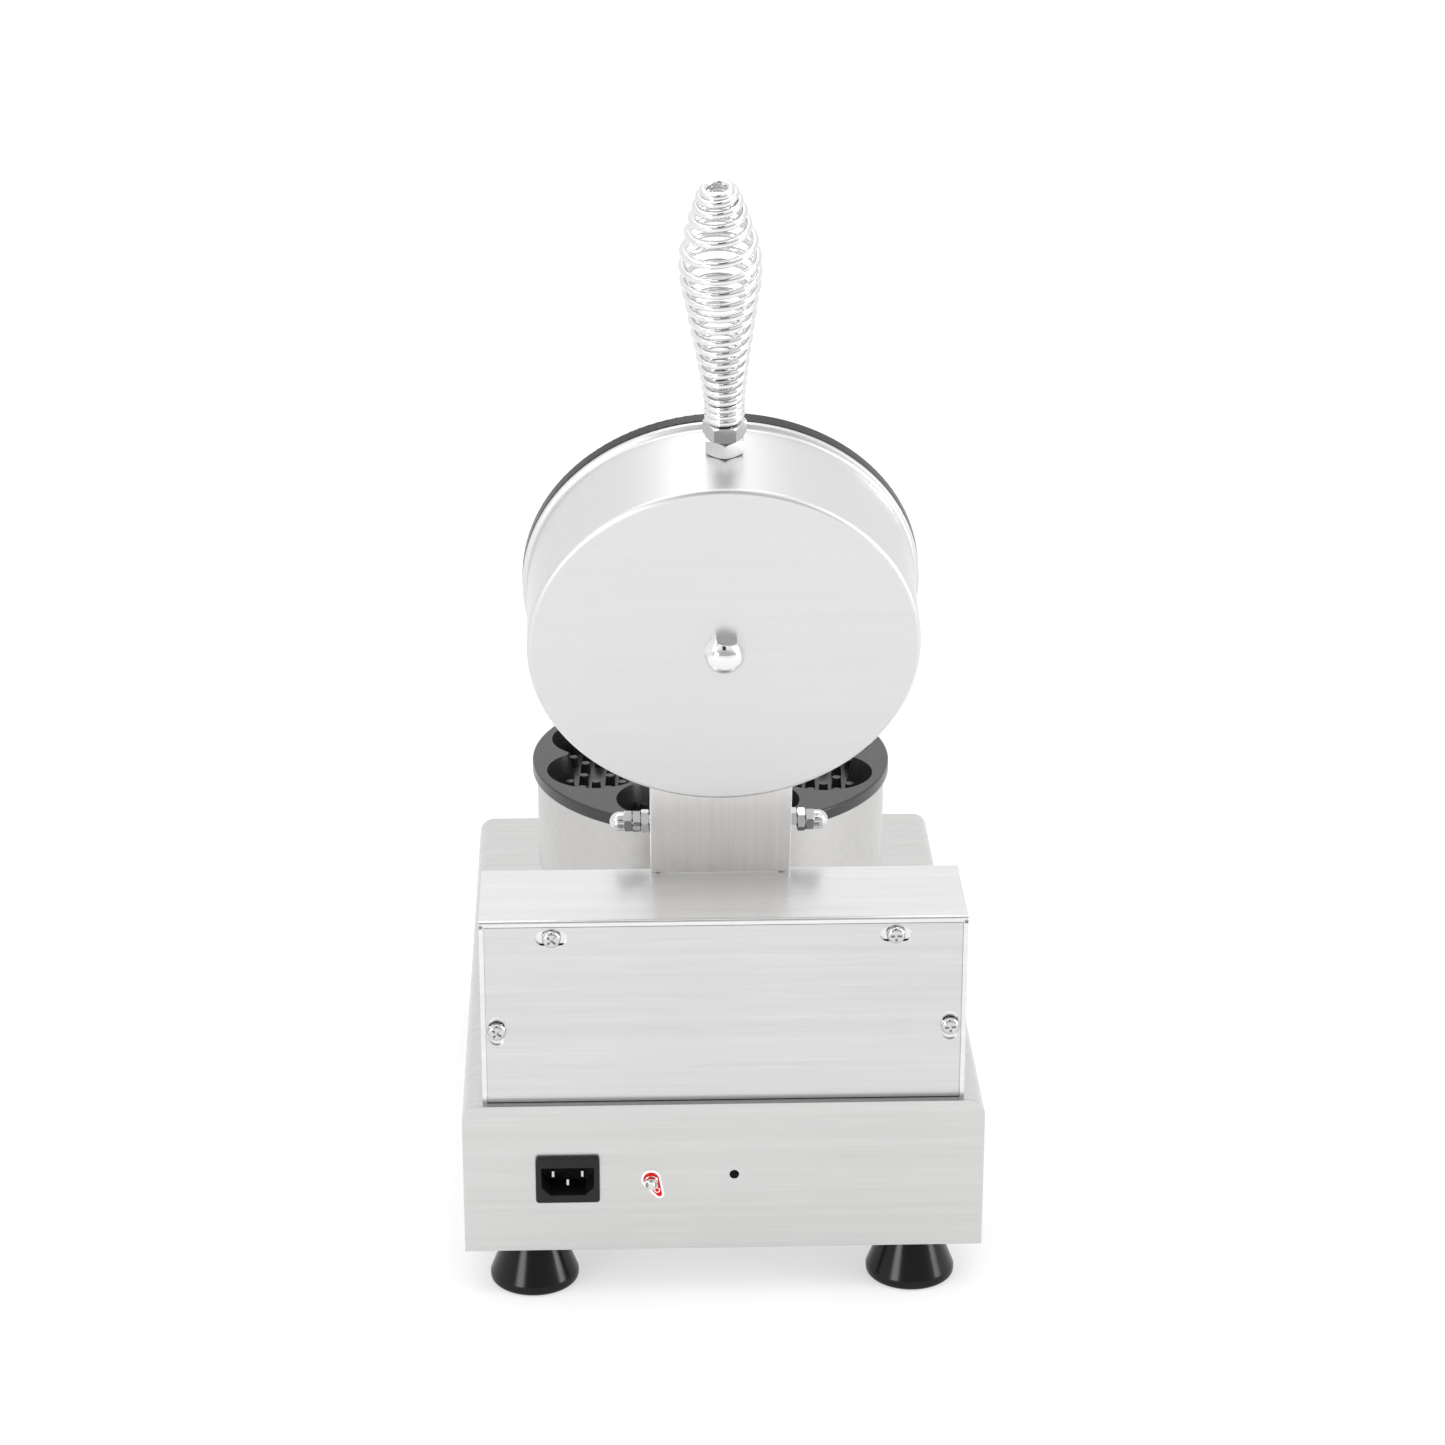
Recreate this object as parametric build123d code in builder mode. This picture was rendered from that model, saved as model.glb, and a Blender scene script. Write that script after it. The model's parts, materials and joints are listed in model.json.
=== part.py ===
from build123d import *
import os
from math import atan2, cos, pi, radians, sin, sqrt

# Counter-top mould baker with a raised round pan, a hinged round lid, a spring-coil handle and a
# wiring box at the back. Millimetres. The origin is on the table under the middle of the whole
# outline with the lid open, +Z is up, the control panel faces -Y and the power inlet faces +Y.

# ---- driving dimensions -------------------------------------------------------------------
SHEET = 1.2                 # stainless sheet
BASE_W, BASE_D = 250, 348   # base cabinet
FOOT_H = 25
BASE_TOP = 103
BEND_R = 8                  # rounded long top edges of the base
PANEL_T = 1.2               # front and rear panels
BASE_MID_Y = -14            # the open lid leans out behind, so the base stands forward of the origin
REAR_Y = BASE_MID_Y + BASE_D / 2
FRONT_Y = BASE_MID_Y - BASE_D / 2

BOX_W, BOX_D = 230, 60      # wiring box on the back of the base
BOX_TOP = 198
BOX_BACK = REAR_Y - 4
BOX_FRONT = BOX_BACK - BOX_D

HINGE_Y, HINGE_Z = REAR_Y - 82, 215     # lid hinge line
OPEN_ANGLE = 108            # lid travel from open to shut
HINGE_TO_PLATE = 135
PLATE_Y = HINGE_Y - HINGE_TO_PLATE
PART_Z = 194                # top of the lower mould plate
SHUT_GAP = 0.4              # between the two plates when shut

PLATE_R, PLATE_RIM = 92.4, 6.5
BOSS_R, BOSS_H = 88.3, 15
PAN_R, PAN_DEPTH, PAN_EDGE = 90, 51, 2.5
LIP_R, LIP_H = 92.3, 2.4
PEDESTAL_R = 60

MOULD_COUNT = 4
MOULD_TURN = -3             # the moulds sit slightly turned from the machine's axes
MOULD_DEPTH, MOULD_DRAFT = 14, 12
LOBE_R, LOBE_PITCH_R, LOBE_ANGLE = 25, 62.5, 20
HEART_TIP_R = 16            # distance of each heart's point from the plate's centre
PEG_R, PEG_H = 2.7, 5.5
PEG_STEP, PEG_ROW = 6.8, 8.2

WEB_HALF = 33.5             # lid bracket
WEB_OFFSET, WEB_TAIL = 28.2, 8.4
BRACKET_T = 1.5
HINGE_LUG_R = 9

BOLT_R = 3                  # M6 hinge bolt
STUD_R = 5                  # M10 handle stud and plate bolts

HANDLE_RISE = 4             # handle axis above the hinge line with the lid shut
HANDLE_LEAN = 2
WIRE_R = 1.8
NUT10_H, NUT10_AF = 8, 17
NUT6_H, NUT6_AF = 4.1, 10

os.makedirs("parts", exist_ok=True)

HINGE_LINE = Axis((0, HINGE_Y, HINGE_Z), (1, 0, 0))


# ---- shared shapes ------------------------------------------------------------------------
def hex_radius(across_flats):
    """Corner radius of a hexagon with the given width across its flats."""
    return across_flats / sqrt(3)


def base_outline(inset=0.0):
    """Front view of the base cabinet: square below, rounded long edges above."""
    half = BASE_W / 2 - inset
    top, bend = BASE_TOP - inset, BEND_R - inset
    with BuildSketch() as outline:
        with BuildLine():
            Polyline(
                (-half, top - bend), (-half, FOOT_H + inset), (half, FOOT_H + inset),
                (half, top - bend),
            )
            RadiusArc((half, top - bend), (half - bend, top), -bend)
            Line((half - bend, top), (-half + bend, top))
            RadiusArc((-half + bend, top), (-half, top - bend), -bend)
        make_face()
    return outline.sketch


def nut(plane, across_flats, height, bore):
    """A hexagon nut standing on the plane, with its corners turned off."""
    corner = hex_radius(across_flats)
    with BuildPart() as body:
        with BuildSketch(plane):
            RegularPolygon(corner, 6)
            Circle(bore, mode=Mode.SUBTRACT)
        extrude(amount=height)
        with BuildSketch(plane.offset(height)):
            Circle(across_flats / 2 + 0.1)
        extrude(amount=-height, taper=-35, mode=Mode.INTERSECT)
    return body.part


def cap_nut(plane, across_flats, hex_height, dome_height, bore):
    """A closed domed nut standing on the plane."""
    dome_r = across_flats / 2 - 0.35
    with BuildPart() as body:
        with BuildSketch(plane):
            Circle(dome_r)
        extrude(amount=hex_height + dome_height)
        crown = body.faces().sort_by(Axis(plane.origin, plane.z_dir))[-1].edges()
        fillet(crown, min(dome_r, dome_height) - 0.3)
        with BuildSketch(plane):
            RegularPolygon(hex_radius(across_flats), 6)
        extrude(amount=hex_height)
        with BuildSketch(plane):
            Circle(bore)
        extrude(amount=hex_height, mode=Mode.SUBTRACT)
    return body.part


def pan_head_screw(plane, head_r, head_h, shank_r, shank_len):
    """A cross-recessed pan-head screw: head above the plane, shank below it."""
    with BuildPart() as body:
        with BuildSketch(plane):
            Circle(head_r)
        extrude(amount=head_h)
        fillet(body.faces().sort_by(Axis(plane.origin, plane.z_dir))[-1].edges(), head_h * 0.6)
        with BuildSketch(plane):
            Circle(shank_r)
        extrude(amount=-shank_len)
        with BuildSketch(plane.offset(head_h)):
            Rectangle(head_r * 1.15, head_r * 0.24)
            Rectangle(head_r * 0.24, head_r * 1.15)
        extrude(amount=-head_h * 0.6, taper=12, mode=Mode.SUBTRACT)
    return body.part


def heart(turn):
    """Outline of one mould: two round lobes towards the rim and a point towards the centre."""
    reach = LOBE_PITCH_R * cos(radians(LOBE_ANGLE))
    side = LOBE_PITCH_R * sin(radians(LOBE_ANGLE))
    span = sqrt((reach - HEART_TIP_R) ** 2 + side**2)
    slope = atan2(side, reach - HEART_TIP_R) + pi / 2 - atan2(sqrt(span**2 - LOBE_R**2), LOBE_R)
    run = sqrt(span**2 - LOBE_R**2)
    touch = (HEART_TIP_R + run * cos(slope), run * sin(slope))
    with BuildSketch() as outline:
        with Locations((reach, side), (reach, -side)):
            Circle(LOBE_R)
        with BuildLine():
            Polyline(
                (HEART_TIP_R, 0), touch, (reach, side), (reach, -side), (touch[0], -touch[1]),
                close=True,
            )
        make_face()
        fillet(outline.vertices().filter_by(lambda v: abs(v.Y) < 0.01), 3)
    return outline.sketch.rotate(Axis.Z, turn)


def in_heart(x, y, margin):
    """True where a peg of the given margin stands clear inside the unturned heart."""
    reach = LOBE_PITCH_R * cos(radians(LOBE_ANGLE))
    side = LOBE_PITCH_R * sin(radians(LOBE_ANGLE))
    lobe = (x - reach) ** 2 + (abs(y) - side) ** 2 < (LOBE_R - margin) ** 2
    wedge = x < reach and abs(y) < (x - HEART_TIP_R) * 0.9 - margin
    return lobe or wedge


def mould_angles():
    return [MOULD_TURN + index * 360 / MOULD_COUNT for index in range(MOULD_COUNT)]


def peg_places():
    """Peg centres of one unturned heart, on a grid set diagonally."""
    reach = LOBE_PITCH_R * cos(radians(LOBE_ANGLE))
    places = []
    for row in range(-8, 9):
        for column in range(-4, 5):
            x = reach + row * PEG_STEP
            y = column * PEG_ROW
            if (row + column) % 2 == 0 and in_heart(x, y, PEG_R + 2.2):
                places.append((x, y))
    return places


def mould_plate(face_z, up):
    """A cast mould plate whose moulding face is at face_z and looks up (1) or down (-1)."""
    face = Plane(
        origin=(0, PLATE_Y, face_z), x_dir=(1, 0, 0), z_dir=(0, 0, up)
    )
    with BuildPart() as plate:
        with BuildSketch(face):
            Circle(PLATE_R)
        extrude(amount=-PLATE_RIM)
        fillet(plate.edges().filter_by(GeomType.CIRCLE), 1)
        with BuildSketch(face.offset(-PLATE_RIM + 0.1)):
            Circle(BOSS_R)
        extrude(amount=-BOSS_H)
        for turn in mould_angles():
            with BuildSketch(face):
                add(heart(turn))
            extrude(amount=-MOULD_DEPTH, taper=MOULD_DRAFT, mode=Mode.SUBTRACT)
        with BuildSketch(face.offset(-MOULD_DEPTH - 0.1)):
            for turn in mould_angles():
                with Locations(Location((0, 0, 0), (0, 0, turn))):
                    with Locations(*peg_places()):
                        Circle(PEG_R)
        extrude(amount=PEG_H, taper=6)
        with BuildSketch(face.offset(-PLATE_RIM - BOSS_H + 0.1)):
            Circle(STUD_R)
        extrude(amount=8, mode=Mode.SUBTRACT)
    return plate.part


def round_pan(floor_z, rim_z, bore):
    """A deep-drawn round pan, open at rim_z, with a rounded floor edge and a centre hole."""
    up = 1 if rim_z > floor_z else -1
    floor = Plane(origin=(0, PLATE_Y, floor_z), x_dir=(1, 0, 0), z_dir=(0, 0, up))
    with BuildPart() as pan:
        with BuildSketch(floor):
            Circle(PAN_R)
        extrude(amount=abs(rim_z - floor_z))
        fillet(pan.faces().sort_by(Axis((0, 0, 0), (0, 0, up)))[0].edges(), PAN_EDGE)
        offset(amount=-SHEET, openings=pan.faces().sort_by(Axis((0, 0, 0), (0, 0, up)))[-1])
        with BuildSketch(floor):
            Circle(bore)
        extrude(amount=SHEET * 3, mode=Mode.SUBTRACT)
    return pan.part


def heating_element(ring_z, up):
    """A tubular element bent to a ring with its two cold ends turned away from the plate."""
    ring_r, tube_r, gap = 54, 4, 14
    end = radians(90 - gap / 2)
    with BuildPart() as element:
        with BuildLine():
            ring = CenterArc((0, PLATE_Y, ring_z), ring_r, 90 + gap / 2, 360 - gap)
        with BuildSketch(Plane(origin=ring @ 0, z_dir=ring % 0)):
            Circle(tube_r)
        sweep()
        for side in (1, -1):
            foot = Plane(
                origin=(side * ring_r * cos(end), PLATE_Y + ring_r * sin(end), ring_z),
                x_dir=(1, 0, 0), z_dir=(0, 0, -up),
            )
            with BuildSketch(foot):
                Circle(tube_r * 0.8)
            extrude(amount=16)
    return element.part


# ---- base cabinet -------------------------------------------------------------------------
BACK_INNER = REAR_Y - PANEL_T
FRONT_INNER = FRONT_Y + PANEL_T
LIP_SCREW_X, LIP_SCREW_Y = 112, 150
with BuildPart() as base_shell:
    with BuildSketch(Plane.XZ.offset(-BACK_INNER)):
        add(base_outline())
        add(base_outline(SHEET), mode=Mode.SUBTRACT)
        with Locations((0, FOOT_H)):
            Rectangle(BASE_W - 40, 4 * SHEET, mode=Mode.SUBTRACT)
    extrude(amount=BACK_INNER - FRONT_INNER)
    with Locations((0, PLATE_Y, BASE_TOP)):
        Hole(STUD_R + 0.5, depth=SHEET * 3)
    with Locations((0, BOX_FRONT + 20, BASE_TOP)):
        Hole(12, depth=SHEET * 3)
    with BuildSketch(Plane((0, BASE_MID_Y, FOOT_H))):
        with GridLocations(2 * LIP_SCREW_X, 2 * LIP_SCREW_Y, 2, 2):
            Circle(2)
    extrude(amount=SHEET, mode=Mode.SUBTRACT)
base_shell.part.label = "base_shell"
export_step(base_shell.part, "parts/base_shell.step")

INLET_X, INLET_Z = 75, 64
INLET_W, INLET_H = 30.7, 24.2
EARTH_X, EARTH_Z = 35, 62
VENT_X, VENT_Z, VENT_R = -5, 65, 2.3
with BuildPart() as rear_panel:
    with BuildSketch(Plane.XZ.offset(-BACK_INNER)):
        add(base_outline())
        with Locations((INLET_X, INLET_Z)):
            Rectangle(INLET_W - 3.5, INLET_H - 3.5, mode=Mode.SUBTRACT)
        with Locations((EARTH_X, EARTH_Z)):
            Circle(2.1, mode=Mode.SUBTRACT)
        with Locations((VENT_X, VENT_Z)):
            Circle(VENT_R, mode=Mode.SUBTRACT)
    extrude(amount=-PANEL_T)
    with BuildSketch(Plane.XZ.offset(-BACK_INNER)):
        with Locations((0, BASE_TOP - SHEET - 0.9)):
            Rectangle(BASE_W - 40, SHEET)
    extrude(amount=10)
rear_panel.part.label = "rear_panel"
export_step(rear_panel.part, "parts/rear_panel.step")

DIAL_X, DIAL_Z = 68, 60
LAMP_X, LAMP_Z, LAMP_R = 24, 84, 4
ROCKER_W, ROCKER_H = 15, 24
with BuildPart() as front_panel:
    with BuildSketch(Plane.XZ.offset(-FRONT_INNER)):
        add(base_outline())
        with Locations((-DIAL_X, DIAL_Z), (DIAL_X, DIAL_Z)):
            Circle(3.6, mode=Mode.SUBTRACT)
        with Locations((-LAMP_X, LAMP_Z), (LAMP_X, LAMP_Z)):
            Circle(LAMP_R + 0.1, mode=Mode.SUBTRACT)
        with Locations((0, DIAL_Z)):
            Rectangle(ROCKER_W + 5, ROCKER_H + 5, mode=Mode.SUBTRACT)
    extrude(amount=PANEL_T)
    with BuildSketch(Plane.XZ.offset(-FRONT_INNER)):
        with Locations((0, BASE_TOP - SHEET - 0.9)):
            Rectangle(BASE_W - 40, SHEET)
    extrude(amount=-10)
front_panel.part.label = "front_panel"
export_step(front_panel.part, "parts/front_panel.step")

FOOT_X, FOOT_Y = 92, 154
FOOT_R, FOOT_TOP_R = 21.6, 14.2
BOTTOM_T = 1.2
BOTTOM_Z = FOOT_H + SHEET
with BuildPart() as bottom_plate:
    with BuildSketch(Plane((0, BASE_MID_Y, BOTTOM_Z))):
        Rectangle(BASE_W - 2 * SHEET - 1, BACK_INNER - FRONT_INNER - 1)
        with GridLocations(2 * FOOT_X, 2 * FOOT_Y, 2, 2):
            Circle(3.1, mode=Mode.SUBTRACT)
        with GridLocations(2 * LIP_SCREW_X, 2 * LIP_SCREW_Y, 2, 2):
            Circle(1.6, mode=Mode.SUBTRACT)
        for row in range(7):
            with Locations((0, PLATE_Y - BASE_MID_Y + (row - 3) * 12)):
                SlotOverall(70, 4, mode=Mode.SUBTRACT)
    extrude(amount=BOTTOM_T)
bottom_plate.part.label = "bottom_plate"
export_step(bottom_plate.part, "parts/bottom_plate.step")

with BuildPart() as bottom_screws:
    for x in (-LIP_SCREW_X, LIP_SCREW_X):
        for y in (BASE_MID_Y - LIP_SCREW_Y, BASE_MID_Y + LIP_SCREW_Y):
            add(pan_head_screw(Plane((x, y, FOOT_H), z_dir=(0, 0, -1)), 3.5, 2, 1.5, 6))
bottom_screws.part.label = "bottom_screws"
export_step(bottom_screws.part, "parts/bottom_screws.step")


def foot(x, y):
    """A flared rubber foot with a hidden pocket for its bolt's head."""
    with BuildPart() as cone:
        with BuildSketch(Plane.XZ):
            with BuildLine():
                Polyline(
                    (0, 0), (FOOT_R - 3, 0), (FOOT_R - 0.6, 1.6), (FOOT_R, 5),
                    (FOOT_TOP_R, 23), (FOOT_TOP_R - 1.5, FOOT_H), (0, FOOT_H), close=True,
                )
            make_face()
        revolve(axis=Axis.Z)
        with BuildSketch(Plane.XY):
            Circle(7)
        extrude(amount=12, mode=Mode.SUBTRACT)
        with BuildSketch(Plane.XY):
            Circle(3.1)
        extrude(amount=FOOT_H, mode=Mode.SUBTRACT)
    return cone.part.translate((x, y, 0))


for side, x in (("left", -FOOT_X), ("right", FOOT_X)):
    for end, y in (("front", BASE_MID_Y - FOOT_Y), ("rear", BASE_MID_Y + FOOT_Y)):
        standing = foot(x, y)
        standing.label = f"foot_{end}_{side}"
        export_step(standing, f"parts/foot_{end}_{side}.step")

with BuildPart() as foot_bolts:
    for x in (-FOOT_X, FOOT_X):
        for y in (BASE_MID_Y - FOOT_Y, BASE_MID_Y + FOOT_Y):
            seat = Plane((x, y, 12), z_dir=(0, 0, 1))
            with BuildSketch(seat):
                Circle(5.2)
            extrude(amount=-3.6)
            with BuildSketch(seat):
                Circle(2.9)
            extrude(amount=24)
            with BuildSketch(Plane((x, y, BOTTOM_Z + BOTTOM_T))):
                RegularPolygon(hex_radius(NUT6_AF), 6)
            extrude(amount=5)
foot_bolts.part.label = "foot_bolts"
export_step(foot_bolts.part, "parts/foot_bolts.step")

# ---- wiring box on the back of the base ---------------------------------------------------
FLANGE_W = 12
COVER_SET = 0.3             # the cover lies this far inside the box's rear edge
EAR_FOOT_Z, EAR_TOP_Z = 160, BOX_TOP - 4    # foot of the fixed hinge bracket on the box's front
BRACKET_MID_Z = (EAR_FOOT_Z + EAR_TOP_Z) / 2
BRACKET_HOLES = (36, 18)
SCREW_TOP = (81, 189)
SCREW_SIDE = (107.5, 141)
SLOT_L, SLOT_W = 15, 7.3
with BuildPart() as hinge_box_shell:
    with BuildSketch(Plane.XY.offset(BASE_TOP)):
        with Locations((0, BOX_BACK - BOX_D / 2)):
            Rectangle(BOX_W, BOX_D)
    extrude(amount=BOX_TOP - BASE_TOP)
    fillet(hinge_box_shell.edges().filter_by(Axis.X).group_by(Axis.Z)[-1], 1.4)
    with BuildSketch(Plane.XY.offset(BASE_TOP)):
        with Locations((0, BOX_BACK - BOX_D / 2)):
            Rectangle(BOX_W - 2 * SHEET, BOX_D - 2 * SHEET)
    extrude(amount=BOX_TOP - BASE_TOP - SHEET, mode=Mode.SUBTRACT)
    with BuildSketch(Plane.XZ.offset(-BOX_BACK)):
        with Locations((0, (BASE_TOP + BOX_TOP - 3) / 2)):
            Rectangle(BOX_W - 4.4, BOX_TOP - BASE_TOP - 3)
    extrude(amount=SHEET * 1.2, mode=Mode.SUBTRACT)
    with BuildSketch(Plane.XZ.offset(-BOX_BACK + SHEET * 1.2)):
        with Locations((0, (BASE_TOP + BOX_TOP) / 2)):
            Rectangle(BOX_W - 2 * SHEET, BOX_TOP - BASE_TOP - 0.6)
        with Locations((0, (BASE_TOP + BOX_TOP - FLANGE_W) / 2 - 1)):
            Rectangle(BOX_W - 2 * FLANGE_W, BOX_TOP - BASE_TOP - FLANGE_W + 2, mode=Mode.SUBTRACT)
        with Locations((-SCREW_TOP[0], SCREW_TOP[1]), SCREW_TOP):
            Circle(1.7, mode=Mode.SUBTRACT)
        with Locations((-SCREW_SIDE[0], SCREW_SIDE[1]), SCREW_SIDE):
            Circle(1.7, mode=Mode.SUBTRACT)
    extrude(amount=SHEET)
    with BuildSketch(Plane.XZ.offset(-BOX_FRONT)):
        with Locations((0, BRACKET_MID_Z)):
            with GridLocations(*BRACKET_HOLES, 2, 2):
                Circle(2.1)
    extrude(amount=-SHEET, mode=Mode.SUBTRACT)
hinge_box_shell.part.label = "hinge_box_shell"
export_step(hinge_box_shell.part, "parts/hinge_box_shell.step")

COVER_FACE = BOX_BACK - COVER_SET
with BuildPart() as hinge_box_cover:
    with BuildSketch(Plane.XZ.offset(-COVER_FACE + 1.1)):
        with Locations((0, (BASE_TOP + 0.8 + BOX_TOP - 3.4) / 2)):
            Rectangle(BOX_W - 5, BOX_TOP - 3.4 - BASE_TOP - 0.8)
        with Locations((-SCREW_TOP[0], SCREW_TOP[1]), SCREW_TOP):
            SlotOverall(SLOT_L, SLOT_W, mode=Mode.SUBTRACT)
        with Locations((-SCREW_SIDE[0], SCREW_SIDE[1]), SCREW_SIDE):
            SlotOverall(SLOT_L, SLOT_W, rotation=90, mode=Mode.SUBTRACT)
    extrude(amount=-1.1)
hinge_box_cover.part.label = "hinge_box_cover"
export_step(hinge_box_cover.part, "parts/hinge_box_cover.step")

with BuildPart() as cover_screws:
    for x, z in (SCREW_TOP, SCREW_SIDE):
        for side in (-1, 1):
            seat = Plane((side * x, COVER_FACE, z), x_dir=(-1, 0, 0.36 * side), z_dir=(0, 1, 0))
            add(pan_head_screw(seat, 4.4, 2.6, 1.6, 8))
cover_screws.part.label = "cover_screws"
export_step(cover_screws.part, "parts/cover_screws.step")

# ---- power inlet, earth terminal ----------------------------------------------------------
INLET_FACE = REAR_Y + 2.5
CAVITY_W, CAVITY_H, CAVITY_DEPTH = 25.2, 14.6, 17
with BuildPart() as power_inlet:
    with BuildSketch(Plane.XZ.offset(-REAR_Y)):
        with Locations((INLET_X, INLET_Z)):
            RectangleRounded(INLET_W, INLET_H, 1.6)
    extrude(amount=-2.5)
    fillet(power_inlet.faces().sort_by(Axis.Y)[-1].edges(), 0.8)
    with BuildSketch(Plane.XZ.offset(-REAR_Y)):
        with Locations((INLET_X, INLET_Z)):
            Rectangle(INLET_W - 3.9, INLET_H - 3.9)
    extrude(amount=22)
    with BuildSketch(Plane.XZ.offset(-INLET_FACE)):
        with Locations((INLET_X, INLET_Z - 0.5)):
            cavity = Rectangle(CAVITY_W, CAVITY_H)
        chamfer(cavity.vertices().group_by(Axis.Y)[0], 4)
    extrude(amount=CAVITY_DEPTH, mode=Mode.SUBTRACT)
power_inlet.part.label = "power_inlet"
export_step(power_inlet.part, "parts/power_inlet.step")

PIN_FLOOR = INLET_FACE - CAVITY_DEPTH
with BuildPart() as inlet_pins:
    with BuildSketch(Plane.XZ.offset(-PIN_FLOOR)):
        with Locations((INLET_X - 7, INLET_Z + 2.2), (INLET_X + 7, INLET_Z + 2.2)):
            Rectangle(2, 4)
        with Locations((INLET_X, INLET_Z - 2.3)):
            Rectangle(2, 4)
    extrude(amount=-14)
    fillet(inlet_pins.faces().group_by(Axis.Y)[-1].edges(), 0.5)
inlet_pins.part.label = "inlet_pins"
export_step(inlet_pins.part, "parts/inlet_pins.step")

TAG_T = 0.4
with BuildPart() as earth_tag:
    with BuildSketch(Plane.XZ.offset(-REAR_Y)):
        with BuildSketch() as drop:
            with Locations((EARTH_X, EARTH_Z + 1)):
                Circle(4.8)
            with Locations((EARTH_X - 4, EARTH_Z - 7)):
                Circle(2.3)
            make_hull()
        with Locations((EARTH_X, EARTH_Z)):
            Circle(2.1, mode=Mode.SUBTRACT)
    extrude(amount=-TAG_T)
earth_tag.part.label = "earth_tag"
export_step(earth_tag.part, "parts/earth_tag.step")

with BuildPart() as earth_stud:
    with BuildSketch(Plane.XZ.offset(-REAR_Y + 9)):
        with Locations((EARTH_X, EARTH_Z)):
            Circle(2)
    extrude(amount=-15)
    chamfer(earth_stud.faces().sort_by(Axis.Y)[-1].edges(), 0.5)
earth_stud.part.label = "earth_stud"
export_step(earth_stud.part, "parts/earth_stud.step")

with BuildPart() as earth_washer:
    with BuildSketch(Plane.XZ.offset(-REAR_Y - TAG_T)):
        with Locations((EARTH_X, EARTH_Z)):
            Circle(4)
            Circle(2.1, mode=Mode.SUBTRACT)
    extrude(amount=-0.8)
earth_washer.part.label = "earth_washer"
export_step(earth_washer.part, "parts/earth_washer.step")

earth_seat = Plane((EARTH_X, REAR_Y + TAG_T + 0.8, EARTH_Z), x_dir=(-1, 0, 0), z_dir=(0, 1, 0))
with BuildPart() as earth_nut:
    add(nut(earth_seat, 6.6, 2.8, 2.05))
earth_nut.part.label = "earth_nut"
export_step(earth_nut.part, "parts/earth_nut.step")

# ---- parts inside the base ----------------------------------------------------------------
TERMINAL_AT = (40, REAR_Y - 84)
with BuildPart() as terminal_block:
    with BuildSketch(Plane.XY.offset(BOTTOM_Z + BOTTOM_T)):
        with Locations(TERMINAL_AT):
            Rectangle(60, 22)
    extrude(amount=14)
    with BuildSketch(Plane.XY.offset(BOTTOM_Z + BOTTOM_T + 14)):
        with Locations(TERMINAL_AT):
            with GridLocations(11, 12, 5, 2):
                Circle(2.6)
    extrude(amount=-8, mode=Mode.SUBTRACT)
terminal_block.part.label = "terminal_block"
export_step(terminal_block.part, "parts/terminal_block.step")

BODY_FRONT = FRONT_INNER + 0.2
with BuildPart() as thermostat:
    with BuildSketch(Plane.XZ.offset(-BODY_FRONT)):
        with Locations((-DIAL_X, DIAL_Z)):
            Rectangle(42, 36)
    extrude(amount=-30)
    fillet(thermostat.edges().filter_by(Axis.Y), 3)
    with BuildSketch(Plane.XZ.offset(-BODY_FRONT - 30)):
        with Locations((-DIAL_X, DIAL_Z)):
            Circle(12)
    extrude(amount=-6)
thermostat.part.label = "thermostat"
export_step(thermostat.part, "parts/thermostat.step")

with BuildPart() as timer:
    with BuildSketch(Plane.XZ.offset(-BODY_FRONT)):
        with Locations((DIAL_X, DIAL_Z)):
            Circle(24)
    extrude(amount=-34)
    chamfer(timer.edges().filter_by(GeomType.CIRCLE), 2)
timer.part.label = "timer"
export_step(timer.part, "parts/timer.step")

with BuildPart() as switch_housing:
    with BuildSketch(Plane.XZ.offset(-FRONT_Y)):
        with Locations((0, DIAL_Z)):
            RectangleRounded(ROCKER_W + 7, ROCKER_H + 7, 2)
    extrude(amount=2)
    fillet(switch_housing.faces().sort_by(Axis.Y)[0].edges(), 0.8)
    with BuildSketch(Plane.XZ.offset(-FRONT_Y)):
        with Locations((0, DIAL_Z)):
            Rectangle(ROCKER_W + 4.4, ROCKER_H + 4.4)
    extrude(amount=-26)
    with BuildSketch(Plane.XZ.offset(-FRONT_Y + 2)):
        with Locations((0, DIAL_Z)):
            Rectangle(ROCKER_W + 0.8, ROCKER_H + 1.4)
    extrude(amount=-20, mode=Mode.SUBTRACT)
switch_housing.part.label = "switch_housing"
export_step(switch_housing.part, "parts/switch_housing.step")


def lamp(x):
    """A round indicator lamp: a low domed lens in front of a slim body."""
    with BuildPart() as body:
        with BuildSketch(Plane.XZ.offset(-FRONT_Y)):
            with Locations((x, LAMP_Z)):
                Circle(LAMP_R + 1.6)
        extrude(amount=2.2)
        fillet(body.faces().sort_by(Axis.Y)[0].edges(), 1.6)
        with BuildSketch(Plane.XZ.offset(-FRONT_Y)):
            with Locations((x, LAMP_Z)):
                Circle(LAMP_R)
        extrude(amount=-18)
    return body.part


power_lamp = lamp(-LAMP_X)
power_lamp.label = "power_lamp"
export_step(power_lamp, "parts/power_lamp.step")
heat_lamp = lamp(LAMP_X)
heat_lamp.label = "heat_lamp"
export_step(heat_lamp, "parts/heat_lamp.step")

# ---- controls -----------------------------------------------------------------------------
DIAL_R, DIAL_DEPTH, SHAFT_R = 19, 16, 3


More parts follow.
